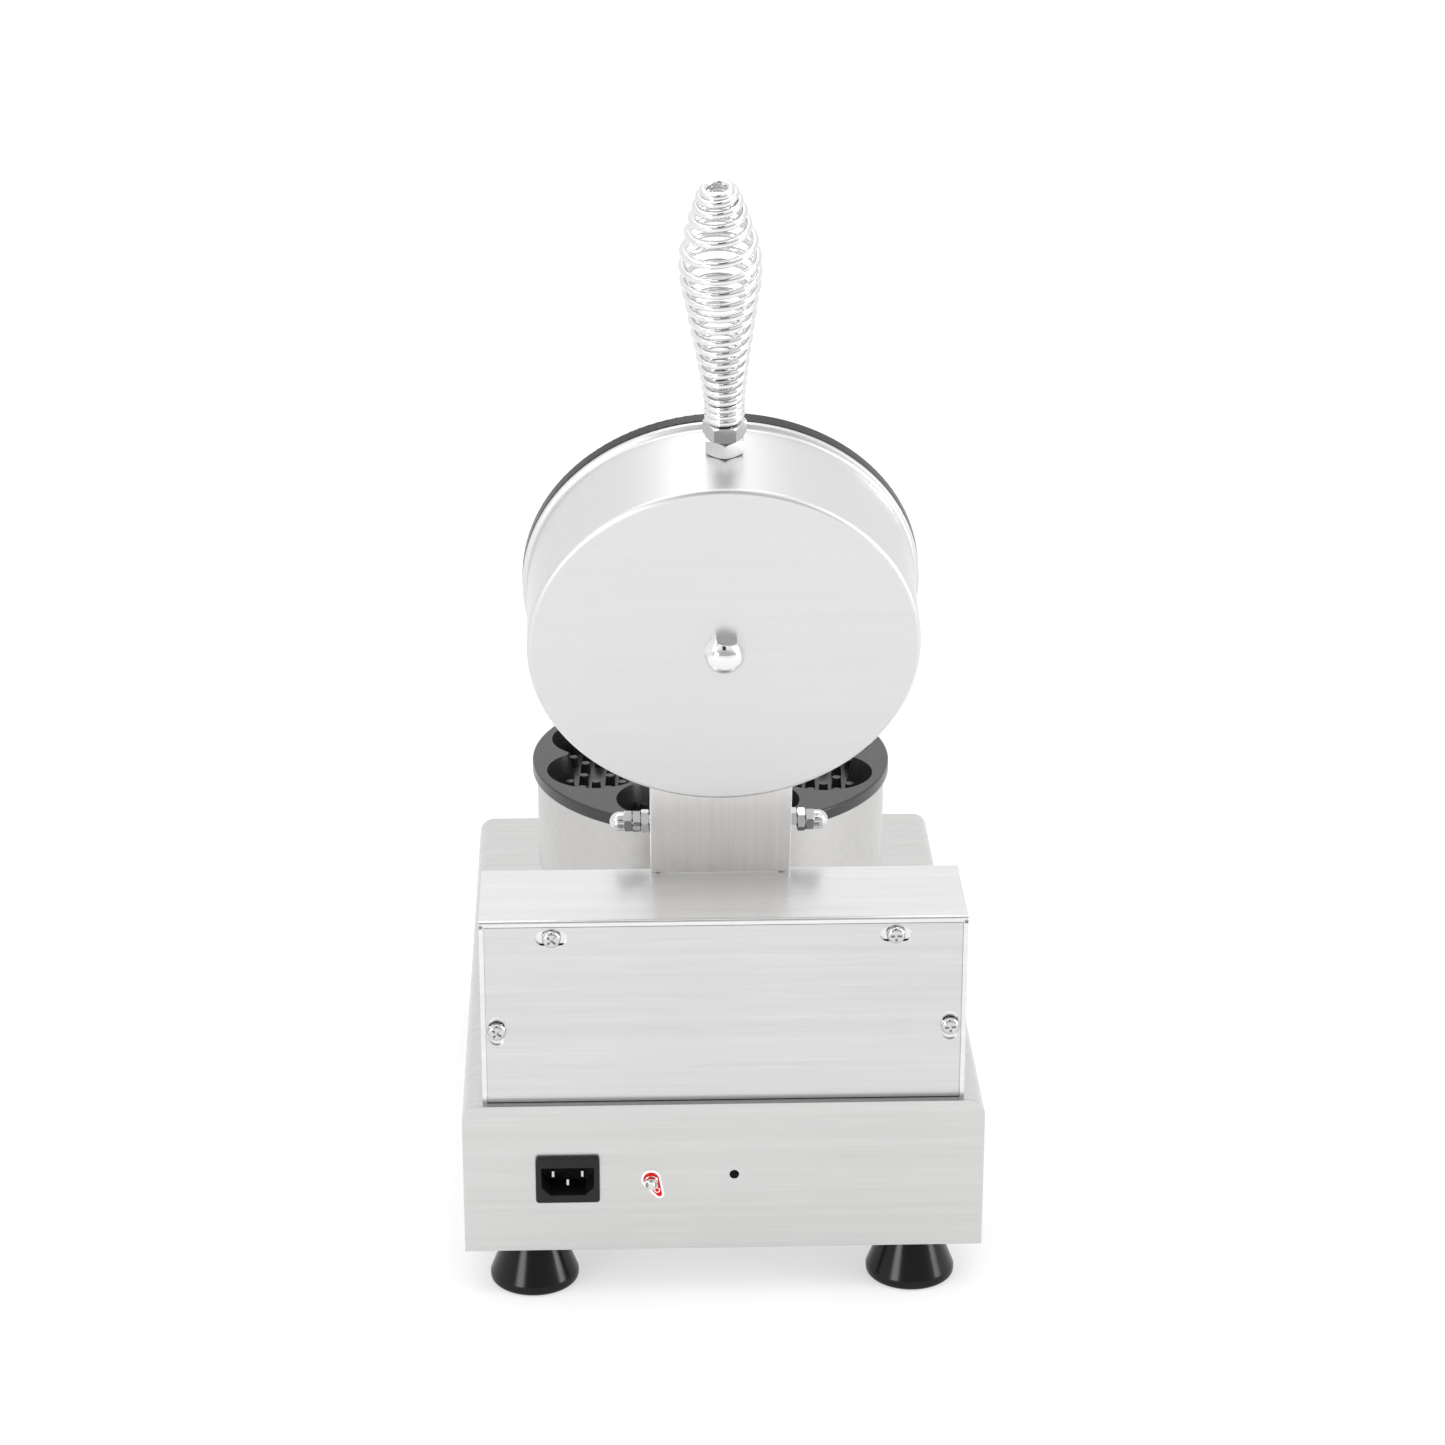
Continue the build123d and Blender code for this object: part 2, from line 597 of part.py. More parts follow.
def dial(x):
    """A round control knob with a raised finger bar, on its own shaft."""
    back = FRONT_Y - 0.8
    with BuildPart() as knob:
        with BuildSketch(Plane.XZ.offset(-back)):
            with Locations((x, DIAL_Z)):
                Circle(DIAL_R)
        extrude(amount=4)
        with BuildSketch(Plane.XZ.offset(-back + 4)):
            with Locations((x, DIAL_Z)):
                Circle(DIAL_R - 2)
        extrude(amount=DIAL_DEPTH - 9, taper=6)
        with BuildSketch(Plane.XZ.offset(-back + 4)):
            with Locations((x, DIAL_Z)):
                SlotOverall(2 * DIAL_R - 4, 9, rotation=90)
        extrude(amount=DIAL_DEPTH - 4, taper=3)
        with BuildSketch(Plane.XZ.offset(-back)):
            with Locations((x, DIAL_Z)):
                Circle(SHAFT_R)
        extrude(amount=-PANEL_T - 0.8)
    return knob.part


thermostat_dial = dial(-DIAL_X)
thermostat_dial.label = "thermostat_dial"
export_step(thermostat_dial, "parts/thermostat_dial.step")
timer_dial = dial(DIAL_X)
timer_dial.label = "timer_dial"
export_step(timer_dial, "parts/timer_dial.step")

ROCKER_PIVOT_Y = FRONT_Y + 3
ROCKER_SWING = 20
with BuildPart() as power_rocker:
    with BuildSketch(Plane.YZ.offset(-ROCKER_W / 2)):
        with BuildLine():
            half, crown, ends, root = ROCKER_H / 2 - 0.4, 5.5, 7.6, 6
            Polyline(
                (ROCKER_PIVOT_Y - crown, DIAL_Z), (ROCKER_PIVOT_Y - ends, DIAL_Z + half - 1.6),
                (ROCKER_PIVOT_Y + 1, DIAL_Z + half), (ROCKER_PIVOT_Y + root, DIAL_Z + 4),
                (ROCKER_PIVOT_Y + root, DIAL_Z - 4), (ROCKER_PIVOT_Y + 1, DIAL_Z - half),
                (ROCKER_PIVOT_Y - ends, DIAL_Z - half + 1.6), close=True,
            )
        make_face()
    extrude(amount=ROCKER_W)
    fillet(power_rocker.edges().filter_by(Axis.X).group_by(Axis.Y)[0], 0.6)
rocker_line = Axis((0, ROCKER_PIVOT_Y, DIAL_Z), (1, 0, 0))
rocker_off = power_rocker.part.rotate(rocker_line, -ROCKER_SWING / 2)
rocker_off.label = "power_rocker"
export_step(rocker_off, "parts/power_rocker.step")

# ---- lower pan ----------------------------------------------------------------------------
PAN_RIM = PART_Z - PLATE_RIM
PAN_FLOOR = PAN_RIM - PAN_DEPTH
with BuildPart() as pan_pedestal:
    with BuildSketch(Plane((0, PLATE_Y, BASE_TOP))):
        Circle(PEDESTAL_R)
    extrude(amount=PAN_FLOOR - BASE_TOP)
    offset(amount=-1.5, openings=pan_pedestal.faces().sort_by(Axis.Z)[0])
    with BuildSketch(Plane((0, PLATE_Y, BASE_TOP))):
        Circle(PEDESTAL_R + 6)
        Circle(PEDESTAL_R - 1, mode=Mode.SUBTRACT)
    extrude(amount=1.5)
    with BuildSketch(Plane((0, PLATE_Y, PAN_FLOOR))):
        Circle(STUD_R + 0.5)
    extrude(amount=-3, mode=Mode.SUBTRACT)
pan_pedestal.part.label = "pan_pedestal"
export_step(pan_pedestal.part, "parts/pan_pedestal.step")

lower_pan = round_pan(PAN_FLOOR, PAN_RIM, STUD_R + 0.5)
lower_pan.label = "lower_pan"
export_step(lower_pan, "parts/lower_pan.step")

lower_mould_plate = mould_plate(PART_Z, 1)
lower_mould_plate.label = "lower_mould_plate"
export_step(lower_mould_plate, "parts/lower_mould_plate.step")

PLATE_BACK = PART_Z - PLATE_RIM + 0.1 - BOSS_H
lower_element = heating_element(PLATE_BACK - 4.1, 1)
lower_element.label = "lower_heating_element"
export_step(lower_element, "parts/lower_heating_element.step")

with BuildPart() as lower_insulation:
    with BuildSketch(Plane((0, PLATE_Y, PAN_FLOOR + 2))):
        Circle(84)
        Circle(8, mode=Mode.SUBTRACT)
        with Locations((0, 54)):
            Rectangle(30, 16, mode=Mode.SUBTRACT)
    extrude(amount=12)
lower_insulation.part.label = "lower_insulation"
export_step(lower_insulation.part, "parts/lower_insulation.step")

with BuildPart() as sensor_bulb:
    with BuildSketch(Plane((-30, PLATE_Y - 20, PLATE_BACK - 3.2), z_dir=(1, 0, 0))):
        Circle(3)
    extrude(amount=60)
    fillet(sensor_bulb.edges().filter_by(GeomType.CIRCLE), 1.4)
sensor_bulb.part.label = "sensor_bulb"
export_step(sensor_bulb.part, "parts/sensor_bulb.step")

with BuildPart() as lower_plate_bolt:
    with BuildSketch(Plane((0, PLATE_Y, BASE_TOP - 18))):
        Circle(STUD_R - 0.05)
    extrude(amount=PLATE_BACK + 7 - (BASE_TOP - 18))
    chamfer(lower_plate_bolt.edges().filter_by(GeomType.CIRCLE), 0.8)
lower_plate_bolt.part.label = "lower_plate_bolt"
export_step(lower_plate_bolt.part, "parts/lower_plate_bolt.step")

with BuildPart() as lower_plate_nut:
    add(nut(Plane((0, PLATE_Y, BASE_TOP - SHEET), z_dir=(0, 0, -1)), NUT10_AF, NUT10_H, STUD_R))
lower_plate_nut.part.label = "lower_plate_nut"
export_step(lower_plate_nut.part, "parts/lower_plate_nut.step")

# ---- fixed half of the hinge --------------------------------------------------------------
EAR_T = 2.5
EAR_X = WEB_HALF - BRACKET_T - 0.8
with BuildPart() as hinge_bracket:
    for x in (-EAR_X, EAR_X - EAR_T):
        with BuildSketch(Plane.YZ.offset(x)):
            with BuildLine():
                Polyline(
                    (BOX_FRONT, EAR_TOP_Z), (BOX_FRONT, EAR_FOOT_Z),
                    (BOX_FRONT - EAR_T, EAR_FOOT_Z), (HINGE_Y - HINGE_LUG_R, HINGE_Z - 6),
                    (HINGE_Y, HINGE_Z), (HINGE_Y + HINGE_LUG_R, HINGE_Z - 6), close=True,
                )
            make_face()
            with Locations((HINGE_Y, HINGE_Z)):
                Circle(HINGE_LUG_R)
                Circle(BOLT_R + 0.05, mode=Mode.SUBTRACT)
        extrude(amount=EAR_T)
    with BuildSketch(Plane.XZ.offset(-BOX_FRONT)):
        with Locations((0, BRACKET_MID_Z)):
            Rectangle(2 * EAR_X, EAR_TOP_Z - EAR_FOOT_Z)
            with GridLocations(*BRACKET_HOLES, 2, 2):
                Circle(2.1, mode=Mode.SUBTRACT)
    extrude(amount=EAR_T)
hinge_bracket.part.label = "hinge_bracket"
export_step(hinge_bracket.part, "parts/hinge_bracket.step")

with BuildPart() as bracket_screws:
    for x in (-BRACKET_HOLES[0] / 2, BRACKET_HOLES[0] / 2):
        for rise in (-BRACKET_HOLES[1] / 2, BRACKET_HOLES[1] / 2):
            seat = Plane((x, BOX_FRONT - EAR_T, BRACKET_MID_Z + rise), z_dir=(0, -1, 0))
            add(pan_head_screw(seat, 3.8, 2.2, 2, 9))
bracket_screws.part.label = "bracket_screws"
export_step(bracket_screws.part, "parts/bracket_screws.step")

NUT_START = WEB_HALF + 0.4
BOLT_END = NUT_START + 3 * NUT6_H - 0.5
with BuildPart() as hinge_bolt:
    with BuildSketch(Plane.YZ.offset(-BOLT_END)):
        with Locations((HINGE_Y, HINGE_Z)):
            Circle(BOLT_R)
    extrude(amount=2 * BOLT_END)
hinge_bolt.part.label = "hinge_bolt"
export_step(hinge_bolt.part, "parts/hinge_bolt.step")

with BuildPart() as hinge_spacer:
    with BuildSketch(Plane.YZ.offset(-EAR_X + EAR_T)):
        with Locations((HINGE_Y, HINGE_Z)):
            Circle(6)
            Circle(BOLT_R + 0.05, mode=Mode.SUBTRACT)
    extrude(amount=2 * (EAR_X - EAR_T))
hinge_spacer.part.label = "hinge_spacer"
export_step(hinge_spacer.part, "parts/hinge_spacer.step")

with BuildPart() as hinge_nuts:
    for side in (-1, 1):
        for place in (0, 1):
            seat = Plane(
                (side * (NUT_START + place * NUT6_H + 0.02), HINGE_Y, HINGE_Z),
                x_dir=(0, 0, 1), z_dir=(side, 0, 0),
            )
            add(nut(seat, NUT6_AF, NUT6_H - 0.04, BOLT_R))
hinge_nuts.part.label = "hinge_nuts"
export_step(hinge_nuts.part, "parts/hinge_nuts.step")

with BuildPart() as hinge_cap_nuts:
    for side in (-1, 1):
        seat = Plane(
            (side * (NUT_START + 2 * NUT6_H), HINGE_Y, HINGE_Z), x_dir=(0, 0, 1), z_dir=(side, 0, 0)
        )
        add(cap_nut(seat, NUT6_AF, NUT6_H, 6.8, BOLT_R))
hinge_cap_nuts.part.label = "hinge_cap_nuts"
export_step(hinge_cap_nuts.part, "parts/hinge_cap_nuts.step")

# ---- lid, drawn shut ----------------------------------------------------------------------
UPPER_FACE = PART_Z + SHUT_GAP
UPPER_RIM = UPPER_FACE + PLATE_RIM
LID_TOP = UPPER_RIM + PAN_DEPTH
UPPER_BACK = UPPER_FACE + PLATE_RIM - 0.1 + BOSS_H
WEB_Z = HINGE_Z + WEB_OFFSET
HANDLE_Z = HINGE_Z + HANDLE_RISE
WALL_Y = PLATE_Y - PAN_R

with BuildPart() as lid_pan:
    add(round_pan(LID_TOP, UPPER_RIM, STUD_R + 0.2))
    with BuildSketch(Plane((0, PLATE_Y, UPPER_RIM))):
        Circle(LIP_R)
        Circle(PAN_R - SHEET, mode=Mode.SUBTRACT)
    extrude(amount=LIP_H)
    with BuildSketch(Plane.XZ.offset(-WALL_Y - 4)):
        with Locations((0, HANDLE_Z)):
            Circle(STUD_R + 0.1)
    extrude(amount=8, mode=Mode.SUBTRACT)

with BuildPart() as lid_bracket:
    with BuildSketch(Plane.YZ.offset(-WEB_HALF)):
        with BuildLine():
            tail = HINGE_Y + WEB_TAIL
            Polyline(
                (tail, WEB_Z), (PLATE_Y, WEB_Z), (PLATE_Y, HINGE_Z - HINGE_LUG_R),
                (HINGE_Y, HINGE_Z - HINGE_LUG_R), (HINGE_Y, HINGE_Z),
                (HINGE_Y + HINGE_LUG_R, HINGE_Z), (tail, HINGE_Z + 6), close=True,
            )
        make_face()
        with Locations((HINGE_Y, HINGE_Z)):
            Circle(HINGE_LUG_R)
    extrude(amount=2 * WEB_HALF)
    with BuildSketch(Plane.YZ.offset(-WEB_HALF + BRACKET_T)):
        with Locations((HINGE_Y, WEB_Z - BRACKET_T)):
            Rectangle(400, 100, align=(Align.CENTER, Align.MAX))
    extrude(amount=2 * (WEB_HALF - BRACKET_T), mode=Mode.SUBTRACT)
    with BuildSketch(Plane.YZ.offset(-WEB_HALF)):
        with Locations((HINGE_Y, HINGE_Z)):
            Circle(BOLT_R + 0.08)
    extrude(amount=2 * WEB_HALF, mode=Mode.SUBTRACT)
    with BuildSketch(Plane((0, PLATE_Y, HINGE_Z - 2 * HINGE_LUG_R))):
        Circle(PAN_R + 0.02)
    extrude(amount=100, mode=Mode.SUBTRACT)

with BuildPart() as upper_mould_plate:
    add(mould_plate(UPPER_FACE, -1))
    with BuildSketch(Plane((0, WALL_Y, HANDLE_Z - 9.8))):
        Rectangle(22, 16)
    extrude(amount=12, mode=Mode.SUBTRACT)

upper_element = heating_element(UPPER_BACK + 4.1, -1)

with BuildPart() as upper_insulation:
    with BuildSketch(Plane((0, PLATE_Y, LID_TOP - 2 - 12))):
        Circle(84)
        Circle(8, mode=Mode.SUBTRACT)
        with Locations((0, 54)):
            Rectangle(30, 16, mode=Mode.SUBTRACT)
    extrude(amount=12)

CAP_AF, CAP_HEX_H, CAP_DOME_H = 16.4, 5.2, 5.6
with BuildPart() as lid_bolt:
    with BuildSketch(Plane((0, PLATE_Y, UPPER_BACK - 7))):
        Circle(STUD_R - 0.05)
    extrude(amount=LID_TOP + CAP_HEX_H - 0.2 - (UPPER_BACK - 7))
    chamfer(lid_bolt.edges().filter_by(GeomType.CIRCLE), 0.8)

with BuildPart() as lid_cap_nut:
    cap_seat = Plane((0, PLATE_Y, LID_TOP), x_dir=(1, -0.12, 0), z_dir=(0, 0, 1))
    add(cap_nut(cap_seat, CAP_AF, CAP_HEX_H, CAP_DOME_H, STUD_R))

STUD_LENGTH = 39.4
with BuildPart() as handle_stud:
    with BuildSketch(Plane.XZ.offset(-WALL_Y - 7.4)):
        with Locations((0, HANDLE_Z)):
            Circle(STUD_R)
    extrude(amount=STUD_LENGTH)
    chamfer(handle_stud.edges().filter_by(GeomType.CIRCLE), 0.8)

with BuildPart() as handle_nuts:
    for depth, height, corner in (
        (-SHEET - 5.6, 5, (1, 0, 0)), (0.05, NUT10_H, (0, 0, 1)), (NUT10_H + 0.1, NUT10_H, (1, 0, 0)),
    ):
        seat = Plane((0, WALL_Y - depth, HANDLE_Z), x_dir=corner, z_dir=(0, -1, 0))
        add(nut(seat, NUT10_AF, height, STUD_R))

# The coil's stations: turns from the nuts, distance from the lid's wall, mean radius.
COIL = (
    (0, 18, 7.4), (3, 29, 7.8), (7, 50.5, 10.4), (11, 77, 14.2), (14, 97.5, 16.5),
    (15.1, 106, 15.8), (16, 114, 13.6), (18, 127, 9.9), (19.5, 133.5, 7.4), (20.6, 136, 5.4),
)
COIL_STEPS = 10


def coil_point(turn, distance, radius):
    angle = 2 * pi * turn
    return (radius * cos(angle), -distance, radius * sin(angle))


coil_guide = Spline(*[(turn, distance, radius) for turn, distance, radius in COIL])
coil_count = int(COIL[-1][0] * COIL_STEPS)
coil_path = []
for step in range(coil_count + 1):
    station = coil_guide @ (step / coil_count)
    coil_path.append(coil_point(station.X, station.Y, station.Z))
with BuildPart() as handle_coil:
    with BuildLine():
        wire = Spline(*coil_path)
    with BuildSketch(Plane(origin=wire @ 0, z_dir=wire % 0)):
        Circle(WIRE_R)
    sweep(is_frenet=True)
lean_line = Axis((0, -18, 0), (0, 0, 1))
coil_leaning = handle_coil.part.rotate(lean_line, -HANDLE_LEAN).translate((0, WALL_Y, HANDLE_Z))

# ---- the lid's pieces, swung open about the hinge -----------------------------------------
lid_pieces = {
    "lid_pan": lid_pan.part,
    "lid_bracket": lid_bracket.part,
    "upper_mould_plate": upper_mould_plate.part,
    "upper_heating_element": upper_element,
    "upper_insulation": upper_insulation.part,
    "lid_bolt": lid_bolt.part,
    "lid_cap_nut": lid_cap_nut.part,
    "handle_stud": handle_stud.part,
    "handle_nuts": handle_nuts.part,
    "handle_coil": coil_leaning,
}
for label, piece in lid_pieces.items():
    opened = piece.rotate(HINGE_LINE, -OPEN_ANGLE)
    opened.label = label
    export_step(opened, f"parts/{label}.step")
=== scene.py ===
"""A counter-top mould baker with a hinged round lid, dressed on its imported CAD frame.

Lengths in the classes are millimetres. Places come from the frame's own nodes.
"""

import json
import logging
import math
from dataclasses import dataclass
from enum import Enum
from typing import ClassVar, Iterable, Sequence

import bmesh
import bpy
from mathutils import Matrix, Vector


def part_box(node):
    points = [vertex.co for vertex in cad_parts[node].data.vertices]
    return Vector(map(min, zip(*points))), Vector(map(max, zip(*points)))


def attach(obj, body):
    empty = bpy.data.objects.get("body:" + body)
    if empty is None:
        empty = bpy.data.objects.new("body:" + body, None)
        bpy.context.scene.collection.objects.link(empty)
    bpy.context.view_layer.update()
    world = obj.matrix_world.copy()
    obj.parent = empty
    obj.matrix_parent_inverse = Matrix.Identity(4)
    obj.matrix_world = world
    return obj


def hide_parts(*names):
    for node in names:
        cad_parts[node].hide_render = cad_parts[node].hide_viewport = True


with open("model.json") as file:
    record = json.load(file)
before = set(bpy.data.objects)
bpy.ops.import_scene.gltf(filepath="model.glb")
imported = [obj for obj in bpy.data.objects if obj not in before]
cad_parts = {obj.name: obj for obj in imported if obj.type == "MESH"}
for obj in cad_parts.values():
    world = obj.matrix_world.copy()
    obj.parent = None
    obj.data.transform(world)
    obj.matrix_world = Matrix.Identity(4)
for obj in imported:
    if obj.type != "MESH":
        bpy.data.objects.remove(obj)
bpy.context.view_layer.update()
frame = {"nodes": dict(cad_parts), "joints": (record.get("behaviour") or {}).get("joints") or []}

LOG = logging.getLogger("mould_baker")
MM = 0.001
Colour = tuple[float, float, float]
Profile = Sequence[tuple[float, float]]


# ---- finishes -------------------------------------------------------------------------------


class Grain(Enum):
    """How far a brushed sheet's streaks run along X, Y and Z, as pattern repeats per metre."""

    ACROSS = (22.0, 1900.0, 1900.0)
    UPRIGHT = (1900.0, 22.0, 22.0)
    SATIN = (90.0, 1500.0, 1500.0)


class ShaderBench:
    """Puts together the node tree of one material on object coordinates."""

    def __init__(self, name: str) -> None:
        """Start a material.

        Args:
            name: The material's name.
        """
        self.material = bpy.data.materials.new(name)
        self.material.use_nodes = True
        self.tree = self.material.node_tree
        self.shader = self.tree.nodes["Principled BSDF"]
        self.coords = self.tree.nodes.new("ShaderNodeTexCoord")

    def plain(self, **values: object) -> None:
        """Set sockets of the shader that are the same all over the surface.

        Args:
            **values: Socket names, with underscores for spaces, and their values.
        """
        for key, value in values.items():
            socket = self.shader.inputs[key.replace("_", " ")]
            socket.default_value = (*value, 1.0) if isinstance(value, tuple) else value

    def drive(self, socket: str, source: bpy.types.NodeSocket) -> None:
        """Link a varying value to one of the shader's sockets."""
        self.tree.links.new(source, self.shader.inputs[socket])

    def noise(self, scale: Colour, detail: float = 3.0, rough: float = 0.6) -> bpy.types.NodeSocket:
        """Noise stretched along the object's axes.

        Args:
            scale: Repeats per metre along X, Y and Z.
            detail: Number of finer layers.
            rough: Weight of the finer layers.

        Returns:
            The noise's value socket.
        """
        mapping = self.tree.nodes.new("ShaderNodeMapping")
        mapping.inputs["Scale"].default_value = scale
        self.tree.links.new(self.coords.outputs["Object"], mapping.inputs["Vector"])
        noise = self.tree.nodes.new("ShaderNodeTexNoise")
        noise.inputs["Scale"].default_value = 1.0
        noise.inputs["Detail"].default_value = detail
        noise.inputs["Roughness"].default_value = rough
        self.tree.links.new(mapping.outputs["Vector"], noise.inputs["Vector"])
        return noise.outputs["Fac"]

    def cells(self, scale: float) -> bpy.types.NodeSocket:
        """Distance from the middle of small random cells.

        Args:
            scale: Cells per metre.

        Returns:
            The distance socket.
        """
        cells = self.tree.nodes.new("ShaderNodeTexVoronoi")
        cells.inputs["Scale"].default_value = scale
        self.tree.links.new(self.coords.outputs["Object"], cells.inputs["Vector"])
        return cells.outputs["Distance"]

    def spread(
        self, value: bpy.types.NodeSocket, low: float, high: float,
        start: float = 0.32, end: float = 0.68,
    ) -> bpy.types.NodeSocket:
        """Stretch a value from start..end to low..high.

        Args:
            value: The value to stretch.
            low: Result at start.
            high: Result at end.
            start: Input that gives low.
            end: Input that gives high.

        Returns:
            The stretched value.
        """
        node = self.tree.nodes.new("ShaderNodeMapRange")
        for key, number in (
            ("From Min", start), ("From Max", end), ("To Min", low), ("To Max", high),
        ):
            node.inputs[key].default_value = number
        self.tree.links.new(value, node.inputs["Value"])
        return node.outputs["Result"]

    def combine(
        self, first: bpy.types.NodeSocket, second: bpy.types.NodeSocket, share: float
    ) -> bpy.types.NodeSocket:
        """Mix two values.

        Args:
            first: The first value.
            second: The second value.
            share: How much of the second is taken.

        Returns:
            The mixed value.
        """
        node = self.tree.nodes.new("ShaderNodeMix")
        node.inputs["Factor"].default_value = share
        self.tree.links.new(first, node.inputs["A"])
        self.tree.links.new(second, node.inputs["B"])
        return node.outputs["Result"]

    def tint(
        self, value: bpy.types.NodeSocket, stops: Sequence[tuple[float, Colour]]
    ) -> bpy.types.NodeSocket:
        """Turn a value into a colour.

        Args:
            value: The value from 0 to 1.
            stops: Places and colours along the ramp.

        Returns:
            The colour socket.
        """
        node = self.tree.nodes.new("ShaderNodeValToRGB")
        ramp = node.color_ramp
        while len(ramp.elements) < len(stops):
            ramp.elements.new(0.5)
        for element, (place, colour) in zip(ramp.elements, stops):
            element.position = place
            element.color = (*colour, 1.0)
        self.tree.links.new(value, node.inputs["Fac"])
        return node.outputs["Color"]

    def bump(self, height: bpy.types.NodeSocket, strength: float, distance: float) -> None:
        """Raise the surface by a value.

        Args:
            height: The height value.
            strength: Share of the effect.
            distance: Height of a full step in millimetres.
        """
        node = self.tree.nodes.new("ShaderNodeBump")
        node.inputs["Strength"].default_value = strength
        node.inputs["Distance"].default_value = distance * MM
        self.tree.links.new(height, node.inputs["Height"])
        self.drive("Normal", node.outputs["Normal"])


@dataclass(frozen=True)
class Finish:
    """A surface finish that several pieces share."""

    name: str
    made: ClassVar[dict[str, bpy.types.Material]] = {}

    def material(self) -> bpy.types.Material:
        """The finish's material, made once."""
        if self.name not in self.made:
            bench = ShaderBench(self.name)
            self.paint(bench)
            self.made[self.name] = bench.material
        return self.made[self.name]

    def paint(self, bench: ShaderBench) -> None:
        """Set up the shader. Each kind of finish says how."""
        raise NotImplementedError


@dataclass(frozen=True)
class BrushedSteel(Finish):
    """Stainless sheet with long fine streaks and faint handling clouds."""

    grain: Grain = Grain.ACROSS
    shade: float = 0.74
    contrast: float = 0.10
    roughness: float = 0.32
    relief: float = 0.10
    warmth: float = 0.0

    def paint(self, bench: ShaderBench) -> None:
        """Streaks drive the colour, the roughness and a very shallow relief."""
        fine = bench.noise(self.grain.value, 3.0, 0.65)
        wide = bench.noise(tuple(axis / 7 for axis in self.grain.value), 2.0, 0.5)
        cloud = bench.noise((9.0, 9.0, 9.0), 2.0, 0.5)
        streak = bench.combine(fine, wide, 0.45)
        tone = bench.combine(streak, cloud, 0.18)
        dark, light = self.shade * (1 - self.contrast), self.shade * (1 + self.contrast)
        bench.drive(
            "Base Color",
            bench.tint(
                bench.spread(tone, 0.0, 1.0),
                (
                    (0.0, (dark * (1 + self.warmth), dark, dark * (1 - self.warmth))),
                    (1.0, (light * (1 + self.warmth), light, light * (1 - self.warmth))),
                ),
            ),
        )
        bench.drive(
            "Roughness", bench.spread(tone, self.roughness + 0.05, self.roughness - 0.05)
        )
        bench.bump(fine, self.relief, 0.02)
        bench.plain(Metallic=1.0)


@dataclass(frozen=True)
class BrightPlate(Finish):
    """Chrome or nickel plating with the faintest haze."""

    shade: float = 0.86
    roughness: float = 0.07

    def paint(self, bench: ShaderBench) -> None:
        """A clean mirror whose roughness and colour drift slightly."""
        haze = bench.noise((120.0, 120.0, 120.0), 3.0)
        bench.drive(
            "Base Color",
            bench.tint(
                bench.spread(haze, 0.0, 1.0),
                (
                    (0.0, (self.shade * 0.95, self.shade * 0.955, self.shade * 0.965)),
                    (1.0, (self.shade, self.shade, self.shade * 1.005)),
                ),
            ),
        )
        bench.drive("Roughness", bench.spread(haze, self.roughness * 1.6, self.roughness * 0.8))
        bench.bump(bench.noise((700.0, 700.0, 700.0), 2.0), 0.03, 0.02)
        bench.plain(Metallic=1.0)


@dataclass(frozen=True)
class NonStick(Finish):
    """Cast aluminium under a black non-stick coat with a fine orange peel."""

    def paint(self, bench: ShaderBench) -> None:
        """Speckled black with a soft gloss."""
        peel = bench.noise((900.0, 900.0, 900.0), 3.0)
        speckle = bench.cells(1600.0)
        stops = (
            (0.0, (0.05, 0.05, 0.053)), (0.16, (0.014, 0.014, 0.015)), (1.0, (0.009, 0.009, 0.01)),
        )
        bench.drive("Base Color", bench.tint(speckle, stops))
        bench.drive("Roughness", bench.spread(peel, 0.24, 0.36))
        bench.bump(peel, 0.22, 0.05)
        bench.plain(Specular_IOR_Level=0.6)


@dataclass(frozen=True)
class Moulding(Finish):
    """A moulded plastic or rubber with fine grain."""

    shade: Colour = (0.02, 0.02, 0.021)
    roughness: float = 0.4
    grain: float = 2200.0
    relief: float = 0.15
    gloss_coat: float = 0.0
    specular: float = 0.5

    def paint(self, bench: ShaderBench) -> None:
        """Fine grain in the relief, slow drift in colour and roughness."""
        drift = bench.noise((35.0, 35.0, 35.0), 4.0)
        pale = tuple(min(1.0, tone * 1.25 + 0.001) for tone in self.shade)
        tone = bench.spread(drift, 0.0, 1.0)
        bench.drive("Base Color", bench.tint(tone, ((0.0, self.shade), (1.0, pale))))
        bench.drive(
            "Roughness", bench.spread(drift, self.roughness * 0.88, self.roughness * 1.12)
        )
        bench.bump(bench.cells(self.grain), self.relief, 0.05)
        bench.plain(
            Coat_Weight=self.gloss_coat, Coat_Roughness=0.08, Specular_IOR_Level=self.specular
        )


@dataclass(frozen=True)
class Lens(Finish):
    """A clear coloured lens with a fine prismatic pattern behind its face."""

    shade: Colour = (0.7, 0.03, 0.02)

    def paint(self, bench: ShaderBench) -> None:
        """Small facets lighten and darken the colour."""
        facets = bench.cells(900.0)
        deep = tuple(tone * 0.35 for tone in self.shade)
        bench.drive("Base Color", bench.tint(facets, ((0.0, self.shade), (0.7, deep))))
        bench.drive("Roughness", bench.spread(facets, 0.06, 0.16))
        bench.bump(facets, 0.2, 0.15)
        bench.plain(Coat_Weight=1.0, Coat_Roughness=0.03, Transmission_Weight=0.25)


